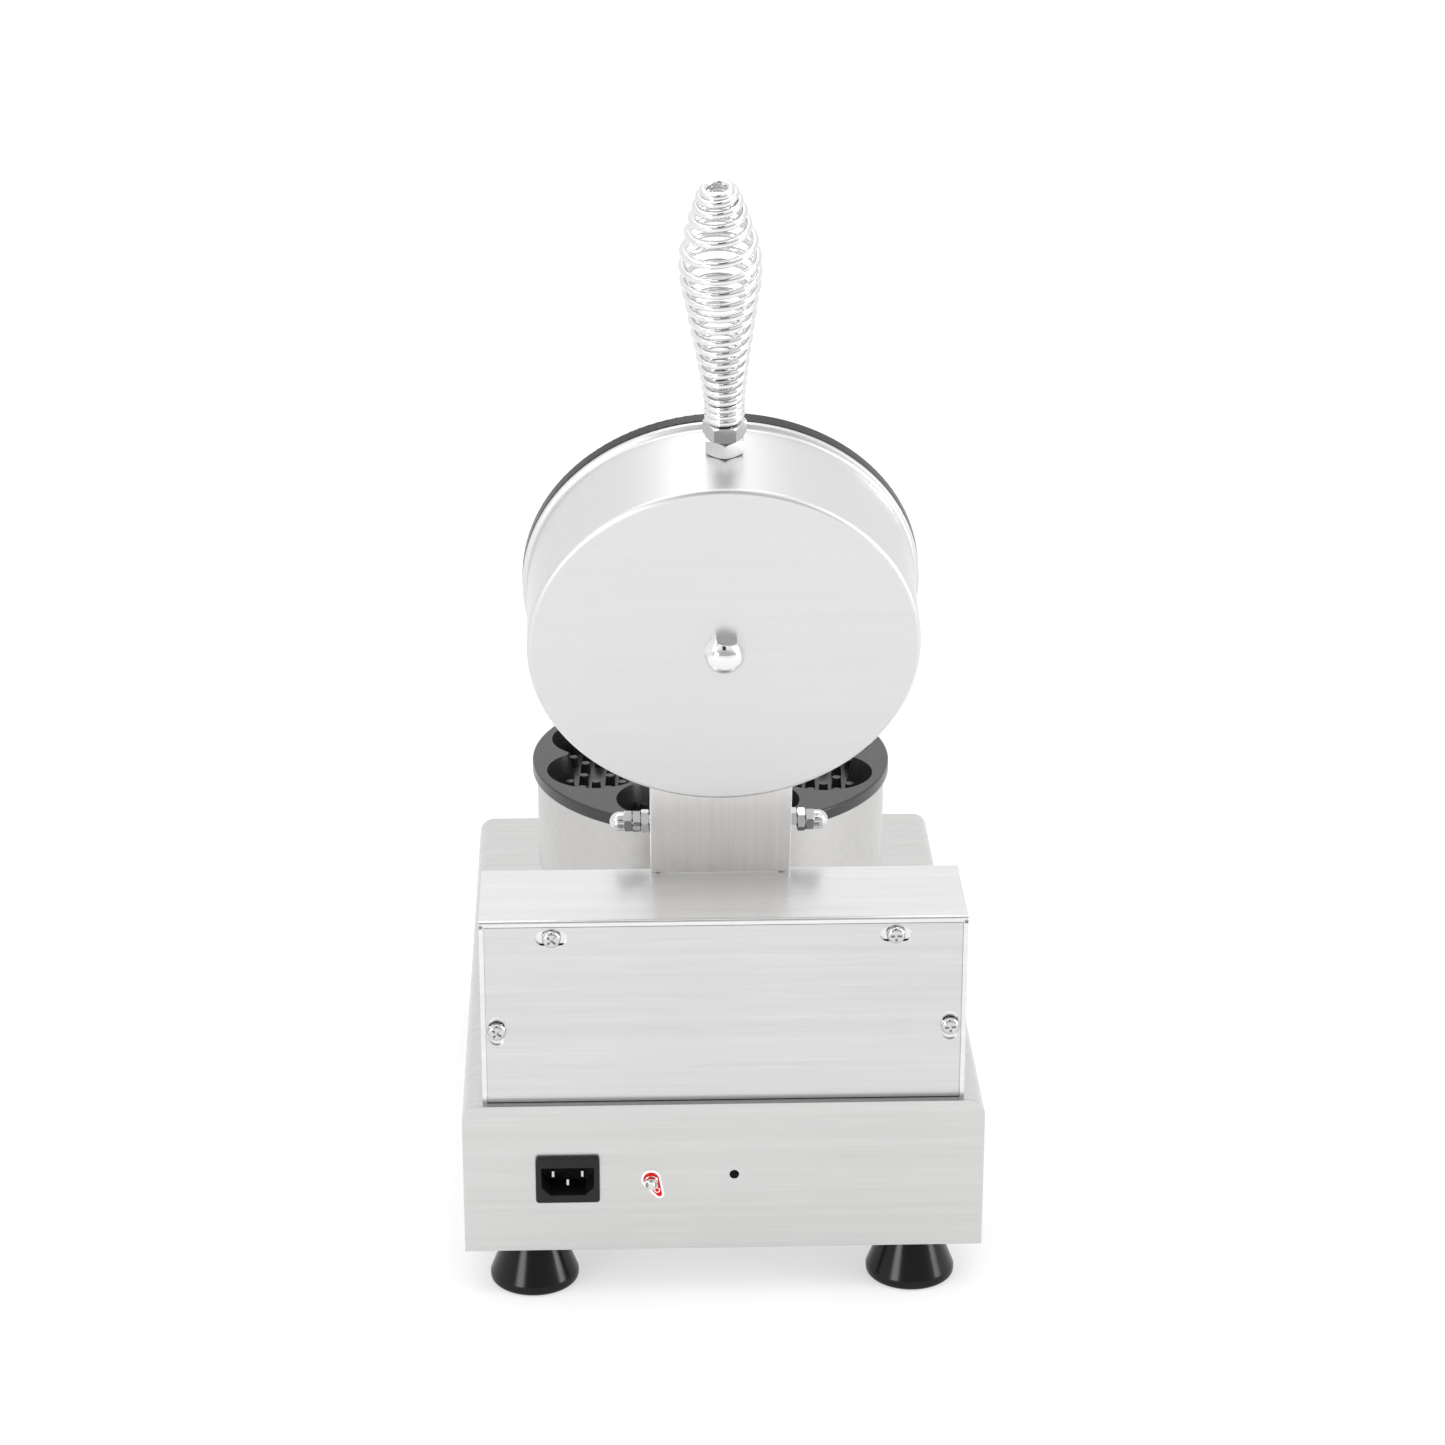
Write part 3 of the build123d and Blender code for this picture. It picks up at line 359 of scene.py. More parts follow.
@dataclass(frozen=True)
class HeatTinted(Finish):
    """An element's sheath, browned and blued by heat."""

    def paint(self, bench: ShaderBench) -> None:
        """Slow bands of straw, brown and slate on a dull metal."""
        bands = bench.noise((40.0, 40.0, 40.0), 3.0)
        bench.drive(
            "Base Color",
            bench.tint(
                bench.spread(bands, 0.0, 1.0),
                ((0.0, (0.16, 0.13, 0.1)), (0.5, (0.26, 0.22, 0.17)), (1.0, (0.14, 0.15, 0.18))),
            ),
        )
        bench.drive("Roughness", bench.spread(bands, 0.42, 0.6))
        bench.bump(bench.noise((1500.0, 1500.0, 1500.0)), 0.2, 0.05)
        bench.plain(Metallic=1.0)


@dataclass(frozen=True)
class FibreFelt(Finish):
    """Pressed ceramic wool."""

    def paint(self, bench: ShaderBench) -> None:
        """Short fibres in every direction."""
        fibres = bench.combine(
            bench.noise((120.0, 1400.0, 900.0), 4.0), bench.noise((1400.0, 160.0, 900.0), 4.0), 0.5
        )
        stops = ((0.0, (0.68, 0.66, 0.6)), (1.0, (0.88, 0.87, 0.83)))
        bench.drive("Base Color", bench.tint(bench.spread(fibres, 0.0, 1.0), stops))
        bench.drive("Roughness", bench.spread(fibres, 0.85, 1.0))
        bench.bump(fibres, 0.8, 0.6)


@dataclass(frozen=True)
class LightTable(Finish):
    """A pale table top, lit from below as well as from above."""

    shade: float = 0.50
    glow: float = 0.50

    def paint(self, bench: ShaderBench) -> None:
        """A dull white whose sheen drifts slowly."""
        drift = bench.noise((1.5, 1.5, 1.5), 2.0)
        bench.drive("Roughness", bench.spread(drift, 0.82, 0.92))
        bench.plain(
            Base_Color=(self.shade,) * 3, Emission_Color=(1.0, 1.0, 1.0),
            Emission_Strength=self.glow, Specular_IOR_Level=0.0,
        )


class Finishes:
    """The object's finishes by their place on it. Some pieces of one steel or one plating differ
    only in shade, and that difference is painted light and shade.
    """

    # PANEL, BOX, COVER and WEB are one brushed steel. Their shades differ as painted light and
    # shade: WEB and BOX are lighter as painted light, and PANEL and COVER are darker as painted
    # shade on the rear faces.
    PANEL = BrushedSteel("panel_brushed_across", Grain.ACROSS, 0.59, 0.08, 0.33, 0.12, 0.008)
    BOX = BrushedSteel("box_brushed_across", Grain.ACROSS, 0.74, 0.07, 0.30, 0.10)
    COVER = BrushedSteel("cover_brushed_across", Grain.ACROSS, 0.61, 0.08, 0.32, 0.12, 0.003)
    WEB = BrushedSteel("bracket_brushed_upright_painted_light", Grain.UPRIGHT, 0.88, 0.08, 0.34, 0.10, 0.022)
    PAN = BrushedSteel("pan_satin", Grain.SATIN, 0.66, 0.02, 0.36, 0.05)
    # The same drawn steel as PAN. Its lower shade is painted shade on the lower pan's wall.
    LOWER_PAN = BrushedSteel("lower_pan_satin_painted_shade", Grain.ACROSS, 0.50, 0.05, 0.34, 0.08, 0.012)
    HIDDEN = BrushedSteel("inner_sheet", Grain.ACROSS, 0.6, 0.08, 0.42, 0.12)
    # NUT, SCREW, CAP, WIRE and PIN are darkened below bright plating, each by its own amount. This
    # is painted shade that stands for the darker reflections and recesses round them.
    NUT = BrightPlate("nut_nickel", 0.68, 0.10)
    SCREW = BrightPlate("screw_nickel", 0.60, 0.07)
    CAP = BrightPlate("cap_nickel", 0.80, 0.05)
    WIRE = BrightPlate("wire_chrome", 0.76, 0.05)
    PIN = BrightPlate("pin_nickel", 0.62, 0.20)
    PLATE = NonStick("plate_nonstick")
    RUBBER = Moulding("foot_gloss_rubber", (0.003, 0.003, 0.003), 0.20, 900.0, 0.02, 0.0, 0.25)
    PLASTIC = Moulding("moulded_black", (0.006, 0.006, 0.0065), 0.40, 2600.0, 0.2, 0.0, 0.3)
    KNOB = Moulding("knob_black", (0.014, 0.014, 0.015), 0.34, 1900.0, 0.15)
    CREAM = Moulding("terminal_cream", (0.78, 0.75, 0.66), 0.35, 1500.0, 0.1)
    RED = Moulding("tag_red", (0.56, 0.008, 0.006), 0.35, 2000.0, 0.05, 0.0, 0.2)
    WHITE = Moulding("tag_white", (0.86, 0.86, 0.85), 0.3, 2000.0, 0.05, 0.5)
    INK = Moulding("scale_ink", (0.03, 0.03, 0.032), 0.5, 2500.0, 0.1)
    RED_LENS = Lens("lens_red", (0.7, 0.03, 0.02))
    GREEN_LENS = Lens("lens_green", (0.05, 0.5, 0.09))
    SHEATH = HeatTinted("element_heat_tinted")
    WOOL = FibreFelt("ceramic_wool")
    FLOOR = LightTable("floor_pale")


# ---- shapes ---------------------------------------------------------------------------------


class Shape:
    """A mesh drawn in millimetres that becomes one named piece."""

    SHARP = math.radians(32)
    FACE = 0.97  # a nut's round face, as a share of its width across the flats

    def __init__(self) -> None:
        """Start empty."""
        self.mesh = bmesh.new()

    @classmethod
    def copy_of(cls, node: str, edge: float) -> "Shape":
        """Copy a CAD node, join its loose triangles and break its sharp edges.

        Args:
            node: The CAD node's name.
            edge: Width of the broken edge, 0 for none.

        Returns:
            The new shape.
        """
        shape = cls()
        mesh = shape.mesh
        mesh.from_mesh(frame["nodes"][node].data)
        mesh.transform(Matrix.Scale(1 / MM, 4))
        bmesh.ops.remove_doubles(mesh, verts=mesh.verts, dist=0.002)
        bmesh.ops.dissolve_limit(
            mesh, angle_limit=math.radians(0.4), verts=mesh.verts, edges=mesh.edges
        )
        if edge:
            shape.break_edges(edge)
        return shape

    def break_edges(self, edge: float, segments: int = 2) -> "Shape":
        """Round every sharp edge.

        Args:
            edge: Width of the rounding.
            segments: Steps across it.

        Returns:
            The shape itself.
        """
        sharp = [
            one for one in self.mesh.edges
            if len(one.link_faces) == 2 and one.calc_face_angle() > self.SHARP
        ]
        bmesh.ops.bevel(
            self.mesh, geom=sharp, offset=edge, offset_type="OFFSET", segments=segments,
            profile=0.5, affect="EDGES", clamp_overlap=True,
        )
        return self

    def rings(self, rings: Iterable[Sequence[Vector]], wrap: bool) -> "Shape":
        """Skin a row of rings that go round the same way. A ring of one point is a pole.

        Args:
            rings: Each ring's points.
            wrap: Whether the last ring joins the first.

        Returns:
            The shape itself.
        """
        rows = [[self.mesh.verts.new(point) for point in ring] for ring in rings]
        pairs = list(zip(rows, rows[1:])) + ([(rows[-1], rows[0])] if wrap else [])
        made = []
        for low, high in pairs:
            count = max(len(low), len(high))
            for step in range(count):
                after = step + 1
                corners = [
                    low[step % len(low)], low[after % len(low)],
                    high[after % len(high)], high[step % len(high)],
                ]
                unique = list(dict.fromkeys(corners))
                if len(unique) > 2:
                    made.append(self.mesh.faces.new(unique))
        bmesh.ops.recalc_face_normals(self.mesh, faces=made)
        return self

    def lathe(self, profile: Profile, place: Matrix, segments: int = 128) -> "Shape":
        """Turn a profile of (radius, height) points about the place's Z axis.

        Args:
            profile: The points. A closed wall starts and ends off the axis.
            place: Where the axis stands.
            segments: Steps round the axis.

        Returns:
            The shape itself.
        """
        rings = []
        for radius, height in profile:
            count = segments if radius > 1e-6 else 1
            rings.append([
                place @ Vector((
                    radius * math.cos(math.tau * step / count),
                    radius * math.sin(math.tau * step / count), height,
                ))
                for step in range(count)
            ])
        wrap = profile[0][0] > 1e-6 and profile[-1][0] > 1e-6
        return self.rings(rings, wrap)

    def hexagon(
        self, across: float, bands: Sequence[tuple[str, float, float]], place: Matrix
    ) -> "Shape":
        """A turned hexagon built from bands, as a nut is.

        Args:
            across: Width across the flats.
            bands: Each ring as ("round", radius, height), or ("hex", height, chamfer way) where
                the ring follows the hexagon and drops by the chamfer towards its corners.
            place: Where it stands.

        Returns:
            The shape itself.
        """
        steps = 48
        half, flat = across / 2, across / 2 * self.FACE
        rings = []
        for kind, first, second in bands:
            ring = []
            for step in range(steps):
                angle = math.tau * step / steps
                corner = half / math.cos((angle % (math.tau / 6)) - math.tau / 12)
                if kind == "round":
                    radius, height = first, second
                else:
                    drop = (corner - flat) * math.tan(math.radians(30))
                    radius, height = corner, first + second * drop
                ring.append(
                    place @ Vector((radius * math.cos(angle), radius * math.sin(angle), height))
                )
            rings.append(ring if kind == "hex" or first > 1e-6 else ring[:1])
        closed = bands[0][0] == "hex" or bands[0][1] > 1e-6
        return self.rings(rings, closed)

    def nut(self, across: float, height: float, bore: float, place: Matrix) -> "Shape":
        """A hexagon nut with both faces chamfered.

        Args:
            across: Width across the flats.
            height: The nut's height.
            bore: Radius of its hole.
            place: Where it stands.

        Returns:
            The shape itself.
        """
        flat = across / 2 * self.FACE
        return self.hexagon(across, (
            ("round", bore, 0.5), ("round", bore + 0.5, 0.0), ("round", flat, 0.0),
            ("hex", 0.0, 1.0), ("hex", height, -1.0), ("round", flat, height),
            ("round", bore + 0.5, height), ("round", bore, height - 0.5),
        ), place)

    def cap_nut(self, across: float, low: float, dome: float, place: Matrix) -> "Shape":
        """A domed cap nut.

        Args:
            across: Width across the flats.
            low: Height of the hexagon.
            dome: Height of the dome above it.
            place: Where it stands.

        Returns:
            The shape itself.
        """
        flat, girth = across / 2 * self.FACE, across / 2 - 0.35
        skirt = max(0.3, dome - girth)
        bands = [
            ("round", 0.0, 0.0), ("round", flat, 0.0), ("hex", 0.0, 1.0), ("hex", low, -1.0),
            ("round", flat, low), ("round", girth, low + 0.1), ("round", girth, low + skirt),
        ]
        for step in range(1, 12):
            angle = math.pi / 2 * step / 12
            bands.append(
                ("round", girth * math.cos(angle), low + skirt + (dome - skirt) * math.sin(angle))
            )
        bands.append(("round", 0.0, low + dome))
        return self.hexagon(across, bands, place)

    def domed_hexagon(self, across: float, low: float, tall: float, place: Matrix) -> "Shape":
        """A hexagon prism whose top is turned to a dome that eats into its corners.

        Args:
            across: Width across the flats.
            low: Height at which the dome starts.
            tall: Whole height.
            place: Where it stands.

        Returns:
            The shape itself.
        """
        steps, levels, half = 96, 26, across / 2
        girth = half / math.cos(math.tau / 12) + 0.05
        rings = [[place @ Vector((0.0, 0.0, 0.0))]]
        for level in range(levels):
            rise = math.sin(math.pi / 2 * level / levels)
            height = low * min(1.0, level / 2) + (tall - low) * rise if level else 0.0
            radius = girth * math.sqrt(max(0.0, 1.0 - rise * rise))
            row = []
            for step in range(steps):
                angle = math.tau * step / steps
                corner = half / math.cos((angle % (math.tau / 6)) - math.tau / 12)
                reach = min(corner, radius)
                x, y = reach * math.cos(angle), reach * math.sin(angle)
                row.append(place @ Vector((x, y, height)))
            rings.append(row)
        rings.append([place @ Vector((0.0, 0.0, tall))])
        return self.rings(rings, False)

    def slab(self, outline: Sequence[tuple[float, float]], height: float, place: Matrix) -> "Shape":
        """A flat plate of any outline.

        Args:
            outline: Its corners, going round anticlockwise.
            height: Its thickness.
            place: Where its lower face lies.

        Returns:
            The shape itself.
        """
        low = [self.mesh.verts.new(place @ Vector((x, y, 0))) for x, y in outline]
        high = [self.mesh.verts.new(place @ Vector((x, y, height))) for x, y in outline]
        made = [self.mesh.faces.new(low[::-1]), self.mesh.faces.new(high)]
        for step in range(len(outline)):
            after = (step + 1) % len(outline)
            made.append(self.mesh.faces.new((low[step], low[after], high[after], high[step])))
        return self

    def loose(self, name: str) -> bpy.types.Object:
        """Turn the drawing into an object in metres.

        Args:
            name: The object's name.

        Returns:
            The object, linked to the scene.
        """
        self.mesh.transform(Matrix.Scale(MM, 4))
        data = bpy.data.meshes.new(name)
        self.mesh.to_mesh(data)
        self.mesh.free()
        data.shade_smooth()
        data.set_sharp_from_angle(angle=self.SHARP)
        thing = bpy.data.objects.new(name, data)
        bpy.context.scene.collection.objects.link(thing)
        return thing

    def weighted(self, name: str) -> bpy.types.Object:
        """Turn the drawing into an object whose flat faces shade flat up to their broken edges.

        Args:
            name: The object's name.

        Returns:
            The object, linked to the scene.
        """
        thing = self.loose(name)
        modifier = thing.modifiers.new("weighted", "WEIGHTED_NORMAL")
        modifier.keep_sharp = True
        data = evaluated_mesh(thing)
        thing.modifiers.remove(modifier)
        thing.data = data
        data.name = name
        return thing

    def cut(self, tool: "Shape") -> "Shape":
        """Take another shape away from this one.

        Args:
            tool: The shape to take away.

        Returns:
            A new shape.
        """
        body, cutter = self.loose("cut_body"), tool.loose("cut_tool")
        modifier = body.modifiers.new("cut", "BOOLEAN")
        modifier.object, modifier.operation, modifier.solver = cutter, "DIFFERENCE", "EXACT"
        result = Shape()
        flat = evaluated_mesh(body)
        result.mesh.from_mesh(flat)
        result.mesh.transform(Matrix.Scale(1 / MM, 4))
        bpy.data.meshes.remove(flat)
        for thing in (body, cutter):
            bpy.data.objects.remove(thing)
        return result

    def piece(
        self, name: str, body: str, finish: Finish, slot: str, *stands_for: str
    ) -> bpy.types.Object:
        """Finish the shape as a piece of the object.

        Args:
            name: The piece's name.
            body: The CAD body it rides on.
            finish: Its finish.
            slot: The record's material slot.
            *stands_for: CAD nodes it replaces.

        Returns:
            The piece.
        """
        thing = self.weighted(name)
        thing.data.materials.append(finish.material())
        return enrol(thing, body, slot, *stands_for)


def evaluated_mesh(thing: bpy.types.Object) -> bpy.types.Mesh:
    """The mesh of an object with its modifiers worked out."""
    bpy.context.view_layer.update()
    graph = bpy.context.evaluated_depsgraph_get()
    return bpy.data.meshes.new_from_object(thing.evaluated_get(graph), depsgraph=graph)


def enrol(
    thing: bpy.types.Object, body: str, slot: str, *stands_for: str
) -> bpy.types.Object:
    """Put a finished piece on its body.

    Args:
        thing: The piece.
        body: The CAD body it rides on.
        slot: The record's material slot; not used.
        *stands_for: CAD nodes it replaces.

    Returns:
        The piece.
    """
    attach(thing, body)
    if stands_for:
        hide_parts(*stands_for)
    LOG.info("%s on %s, %d faces", thing.name, body, len(thing.data.polygons))
    return thing


def dress(finish: Finish, *nodes: str) -> None:
    """Give CAD nodes that keep their mesh a finish.

    Args:
        finish: The finish.
        *nodes: The nodes' names.
    """
    for node in nodes:
        thing = frame["nodes"][node]
        if thing.material_slots:
            for slot in thing.material_slots:
                slot.material = finish.material()
        else:
            thing.data.materials.append(finish.material())
        LOG.info("%s keeps its mesh in %s", node, finish.name)


def corners(node: str) -> tuple[Vector, Vector]:
    """A CAD node's lowest and highest corner in millimetres."""
    low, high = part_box(node)
    return low / MM, high / MM


def middle(node: str) -> Vector:
    """The middle of a CAD node's box in millimetres."""
    low, high = corners(node)
    return (low + high) / 2


def facing(point: Vector, out: Sequence[float], up: Sequence[float] = (0, 0, 1)) -> Matrix:
    """A place at a point whose Z axis looks out along a direction.

    Args:
        point: The place's origin.
        out: Direction of its Z axis.
        up: Direction that its X axis follows as near as it can.

    Returns:
        The place's matrix.
    """
    z_axis = Vector(out).normalized()
    x_axis = (Vector(up) - Vector(up).dot(z_axis) * z_axis).normalized()
    y_axis = z_axis.cross(x_axis)
    turned = Matrix((x_axis, y_axis, z_axis)).transposed().to_4x4()
    return Matrix.Translation(point) @ turned


def arc(
    centre: tuple[float, float], radius: float, start: float, end: float, steps: int = 8
) -> list[tuple[float, float]]:
    """Points along an arc.

    Args:
        centre: The arc's centre.
        radius: Its radius.
        start: First angle in degrees.
        end: Last angle in degrees.
        steps: Number of steps.

    Returns:
        The points, both ends included.
    """
    angles = (math.radians(start + (end - start) * step / steps) for step in range(steps + 1))
    return [
        (centre[0] + radius * math.cos(angle), centre[1] + radius * math.sin(angle))
        for angle in angles
    ]


def oblong(half_x: float, half_y: float) -> list[tuple[float, float]]:
    """Corners of a rectangle round the origin, anticlockwise, from half its sides."""
    return [(-half_x, -half_y), (half_x, -half_y), (half_x, half_y), (-half_x, half_y)]


# ---- node-built repeats ---------------------------------------------------------------------


class Growth:
    """A Geometry Nodes tree with named inputs, run once and turned into a plain mesh."""

    def __init__(self, name: str) -> None:
        """Start a tree.

        Args:
            name: The tree's name.
        """
        self.name = name
        self.tree = bpy.data.node_groups.new(name, "GeometryNodeTree")
        self.tree.interface.new_socket(
            "Geometry", in_out="OUTPUT", socket_type="NodeSocketGeometry"
        )
        self.source = self.tree.nodes.new("NodeGroupInput")
        self.sink = self.tree.nodes.new("NodeGroupOutput")
        self.values: dict[str, object] = {}

    def entry(self, label: str, kind: str, value: object) -> bpy.types.NodeSocket:
        """Add a named input.

        Args:
            label: The input's name.
            kind: Its socket type without the prefix.
            value: The value it is given, None for the geometry that comes in.

        Returns:
            The socket inside the tree.
        """
        socket = self.tree.interface.new_socket(
            label, in_out="INPUT", socket_type="NodeSocket" + kind
        )
        if value is not None:
            self.values[socket.identifier] = value
        return self.source.outputs[label]

    def node(self, kind: str, links: dict[object, object], **settings: object) -> bpy.types.Node:
        """Add a node.

        Args:
            kind: The node's type.
            links: Sockets by name or place, each with a socket to link or a value to set.
            **settings: Properties of the node.

        Returns:
            The node.
        """
        made = self.tree.nodes.new(kind)
        for key, value in settings.items():
            setattr(made, key, value)
        for key, value in links.items():
            if isinstance(value, bpy.types.NodeSocket):
                self.tree.links.new(value, made.inputs[key])
            else:
                made.inputs[key].default_value = value
        return made

    def sum(self, kind: str, first: object, second: object = 0.0) -> bpy.types.NodeSocket:
        """One step of arithmetic.

        Args:
            kind: The operation.
            first: First socket or number.
            second: Second socket or number.

        Returns:
            The result's socket.
        """
        return self.node("ShaderNodeMath", {0: first, 1: second}, operation=kind).outputs[0]

    def vector(self, x: object, y: object, z: object) -> bpy.types.NodeSocket:
        """A vector from three sockets or numbers."""
        return self.node("ShaderNodeCombineXYZ", {0: x, 1: y, 2: z}).outputs[0]

    def curve(
        self, value: bpy.types.NodeSocket, stations: Sequence[tuple[float, float]]
    ) -> bpy.types.NodeSocket:
        """Follow a smooth curve through stations that lie in 0 to 1.

        Args:
            value: Where along the curve.
            stations: Its points.

        Returns:
            The curve's value.
        """
        made = self.node("ShaderNodeFloatCurve", {"Value": value})
        line = made.mapping.curves[0]
        while len(line.points) < len(stations):
            line.points.new(0.5, 0.5)
        for point, station in zip(line.points, stations):
            point.location = station
            point.handle_type = "AUTO"
        made.mapping.update()
        return made.outputs[0]

    def grow(
        self, finish: Finish, last: bpy.types.NodeSocket, seed: bpy.types.Mesh | None = None
    ) -> bpy.types.Object:
        """Close the tree, run it and keep the result as a plain mesh.

        Args:
            finish: The finish that the tree sets.
            last: The geometry to keep.
            seed: A mesh that the tree starts from.

        Returns:
            The grown object, without a modifier.
        """
        real = self.node("GeometryNodeRealizeInstances", {0: last}).outputs[0]
        dressed = self.node("GeometryNodeSetMaterial", {0: real, "Material": finish.material()})
        self.tree.links.new(dressed.outputs[0], self.sink.inputs[0])
        base = seed or bpy.data.meshes.new(self.name + "_seed")
        holder = bpy.data.objects.new(self.name + "_holder", base)
        bpy.context.scene.collection.objects.link(holder)
        modifier = holder.modifiers.new(self.name, "NODES")
        modifier.node_group = self.tree
        for identifier, value in self.values.items():
            modifier[identifier] = value
        result = evaluated_mesh(holder)
        result.name = self.name
        holder.modifiers.remove(modifier)
        bpy.data.objects.remove(holder)
        grown = bpy.data.objects.new(self.name, result)
        bpy.context.scene.collection.objects.link(grown)
        return grown


def smooth(thing: bpy.types.Object, sharp: float = 32.0) -> bpy.types.Object:
    """Shade an object smooth except where it bends sharply.

    Args:
        thing: The object.
        sharp: The bend in degrees from which an edge stays sharp.

    Returns:
        The object.
    """
    thing.data.shade_smooth()
    thing.data.set_sharp_from_angle(angle=math.radians(sharp))
    return thing


class ScrewPattern:
    """The same cross-recessed pan-head screw set in several places."""

    SHANK = 4.0
    RIM = 0.25
    TURN_STEP = 0.83

    def __init__(self, head: float, height: float) -> None:
        """Note the screw's sizes.

        Args:
            head: Radius of the head.
            height: Height of the head.
        """
        self.head = head
        self.height = height

    def one(self) -> bpy.types.Object:
        """A single screw standing on the origin, head up, with its cross cut in."""
        dome = arc((self.head - self.height * 0.8, self.height * 0.2), self.height * 0.8, 0, 90, 7)
        under = self.head * 0.42
        profile = [(0.0, -self.SHANK), (under, -self.SHANK), (under, 0.0)]
        profile += [(self.head - self.RIM, 0.0), (self.head, self.RIM)]
        profile += dome + [(0.0, self.height * 1.02)]
        head = Shape().lathe(profile, Matrix.Identity(4), 48)
        arm, reach, deep = self.head * 0.13, self.head * 0.6, self.height * 0.42
        for quarter in (0, 1):
            turn = Matrix.Rotation(quarter * math.pi / 2, 4, "Z")
            place = Matrix.Translation((0, 0, deep)) @ turn
            head = head.cut(Shape().slab(oblong(reach, arm), self.height, place))
        return head.loose("screw")

    def set_at(
        self, name: str, points: Sequence[Vector], out: Vector, body: str, slot: str, *nodes: str
    ) -> bpy.types.Object:
        """Set the screws.

        Args:
            name: The piece's name.
            points: Where the heads sit, in millimetres.
            out: The way the heads look.
            body: The CAD body.
            slot: The record's material slot.
            *nodes: CAD nodes they replace.

        Returns:
            The piece.
        """
        seed = bpy.data.meshes.new(name + "_points")
        seed.from_pydata([point * MM for point in points], [], [])
        screw = self.one()
        growth = Growth(name)
        geometry = growth.entry("Points", "Geometry", None)
        master = growth.entry("Screw", "Object", screw)
        look = growth.entry("Facing", "Vector", tuple(out))
        step = growth.entry("Turn step", "Float", self.TURN_STEP)
        item = growth.node("GeometryNodeObjectInfo", {"Object": master}).outputs["Geometry"]
        aim = growth.node("FunctionNodeAlignRotationToVector", {"Vector": look}, axis="Z")
        number = growth.node("GeometryNodeInputIndex", {}).outputs[0]
        own = growth.vector(0.0, 0.0, growth.sum("MULTIPLY", number, step))
        turned = growth.node(
            "FunctionNodeRotateRotation", {0: aim.outputs[0], 1: own}, rotation_space="LOCAL"
        )
        cloud = growth.node("GeometryNodeMeshToPoints", {"Mesh": geometry}).outputs[0]
        rows = growth.node(
            "GeometryNodeInstanceOnPoints",
            {"Points": cloud, "Instance": item, "Rotation": turned.outputs[0]},
        )
        grown = growth.grow(Finishes.SCREW, rows.outputs[0], seed)
        bpy.data.objects.remove(screw)
        return enrol(smooth(grown), body, slot, *nodes)


# ---- sub-assemblies -------------------------------------------------------------------------


@dataclass(frozen=True)
class SoftLight:
    """A square soft light. Its place and side are in metres, its power in watts."""

    name: str
    at: tuple[float, float, float]
    size: float
    power: float

    def hang(self, target: Vector) -> None:
        """Hang the light so that it looks at a point.

        Args:
            target: The point, in metres.
        """
        data = bpy.data.lights.new(self.name, "AREA")
        data.shape = "SQUARE"
        data.size = self.size
        data.energy = self.power
        lamp = bpy.data.objects.new(self.name, data)
        turn = (target - Vector(self.at)).to_track_quat("-Z", "Y").to_matrix().to_4x4()
        lamp.matrix_world = Matrix.Translation(self.at) @ turn
        bpy.context.scene.collection.objects.link(lamp)


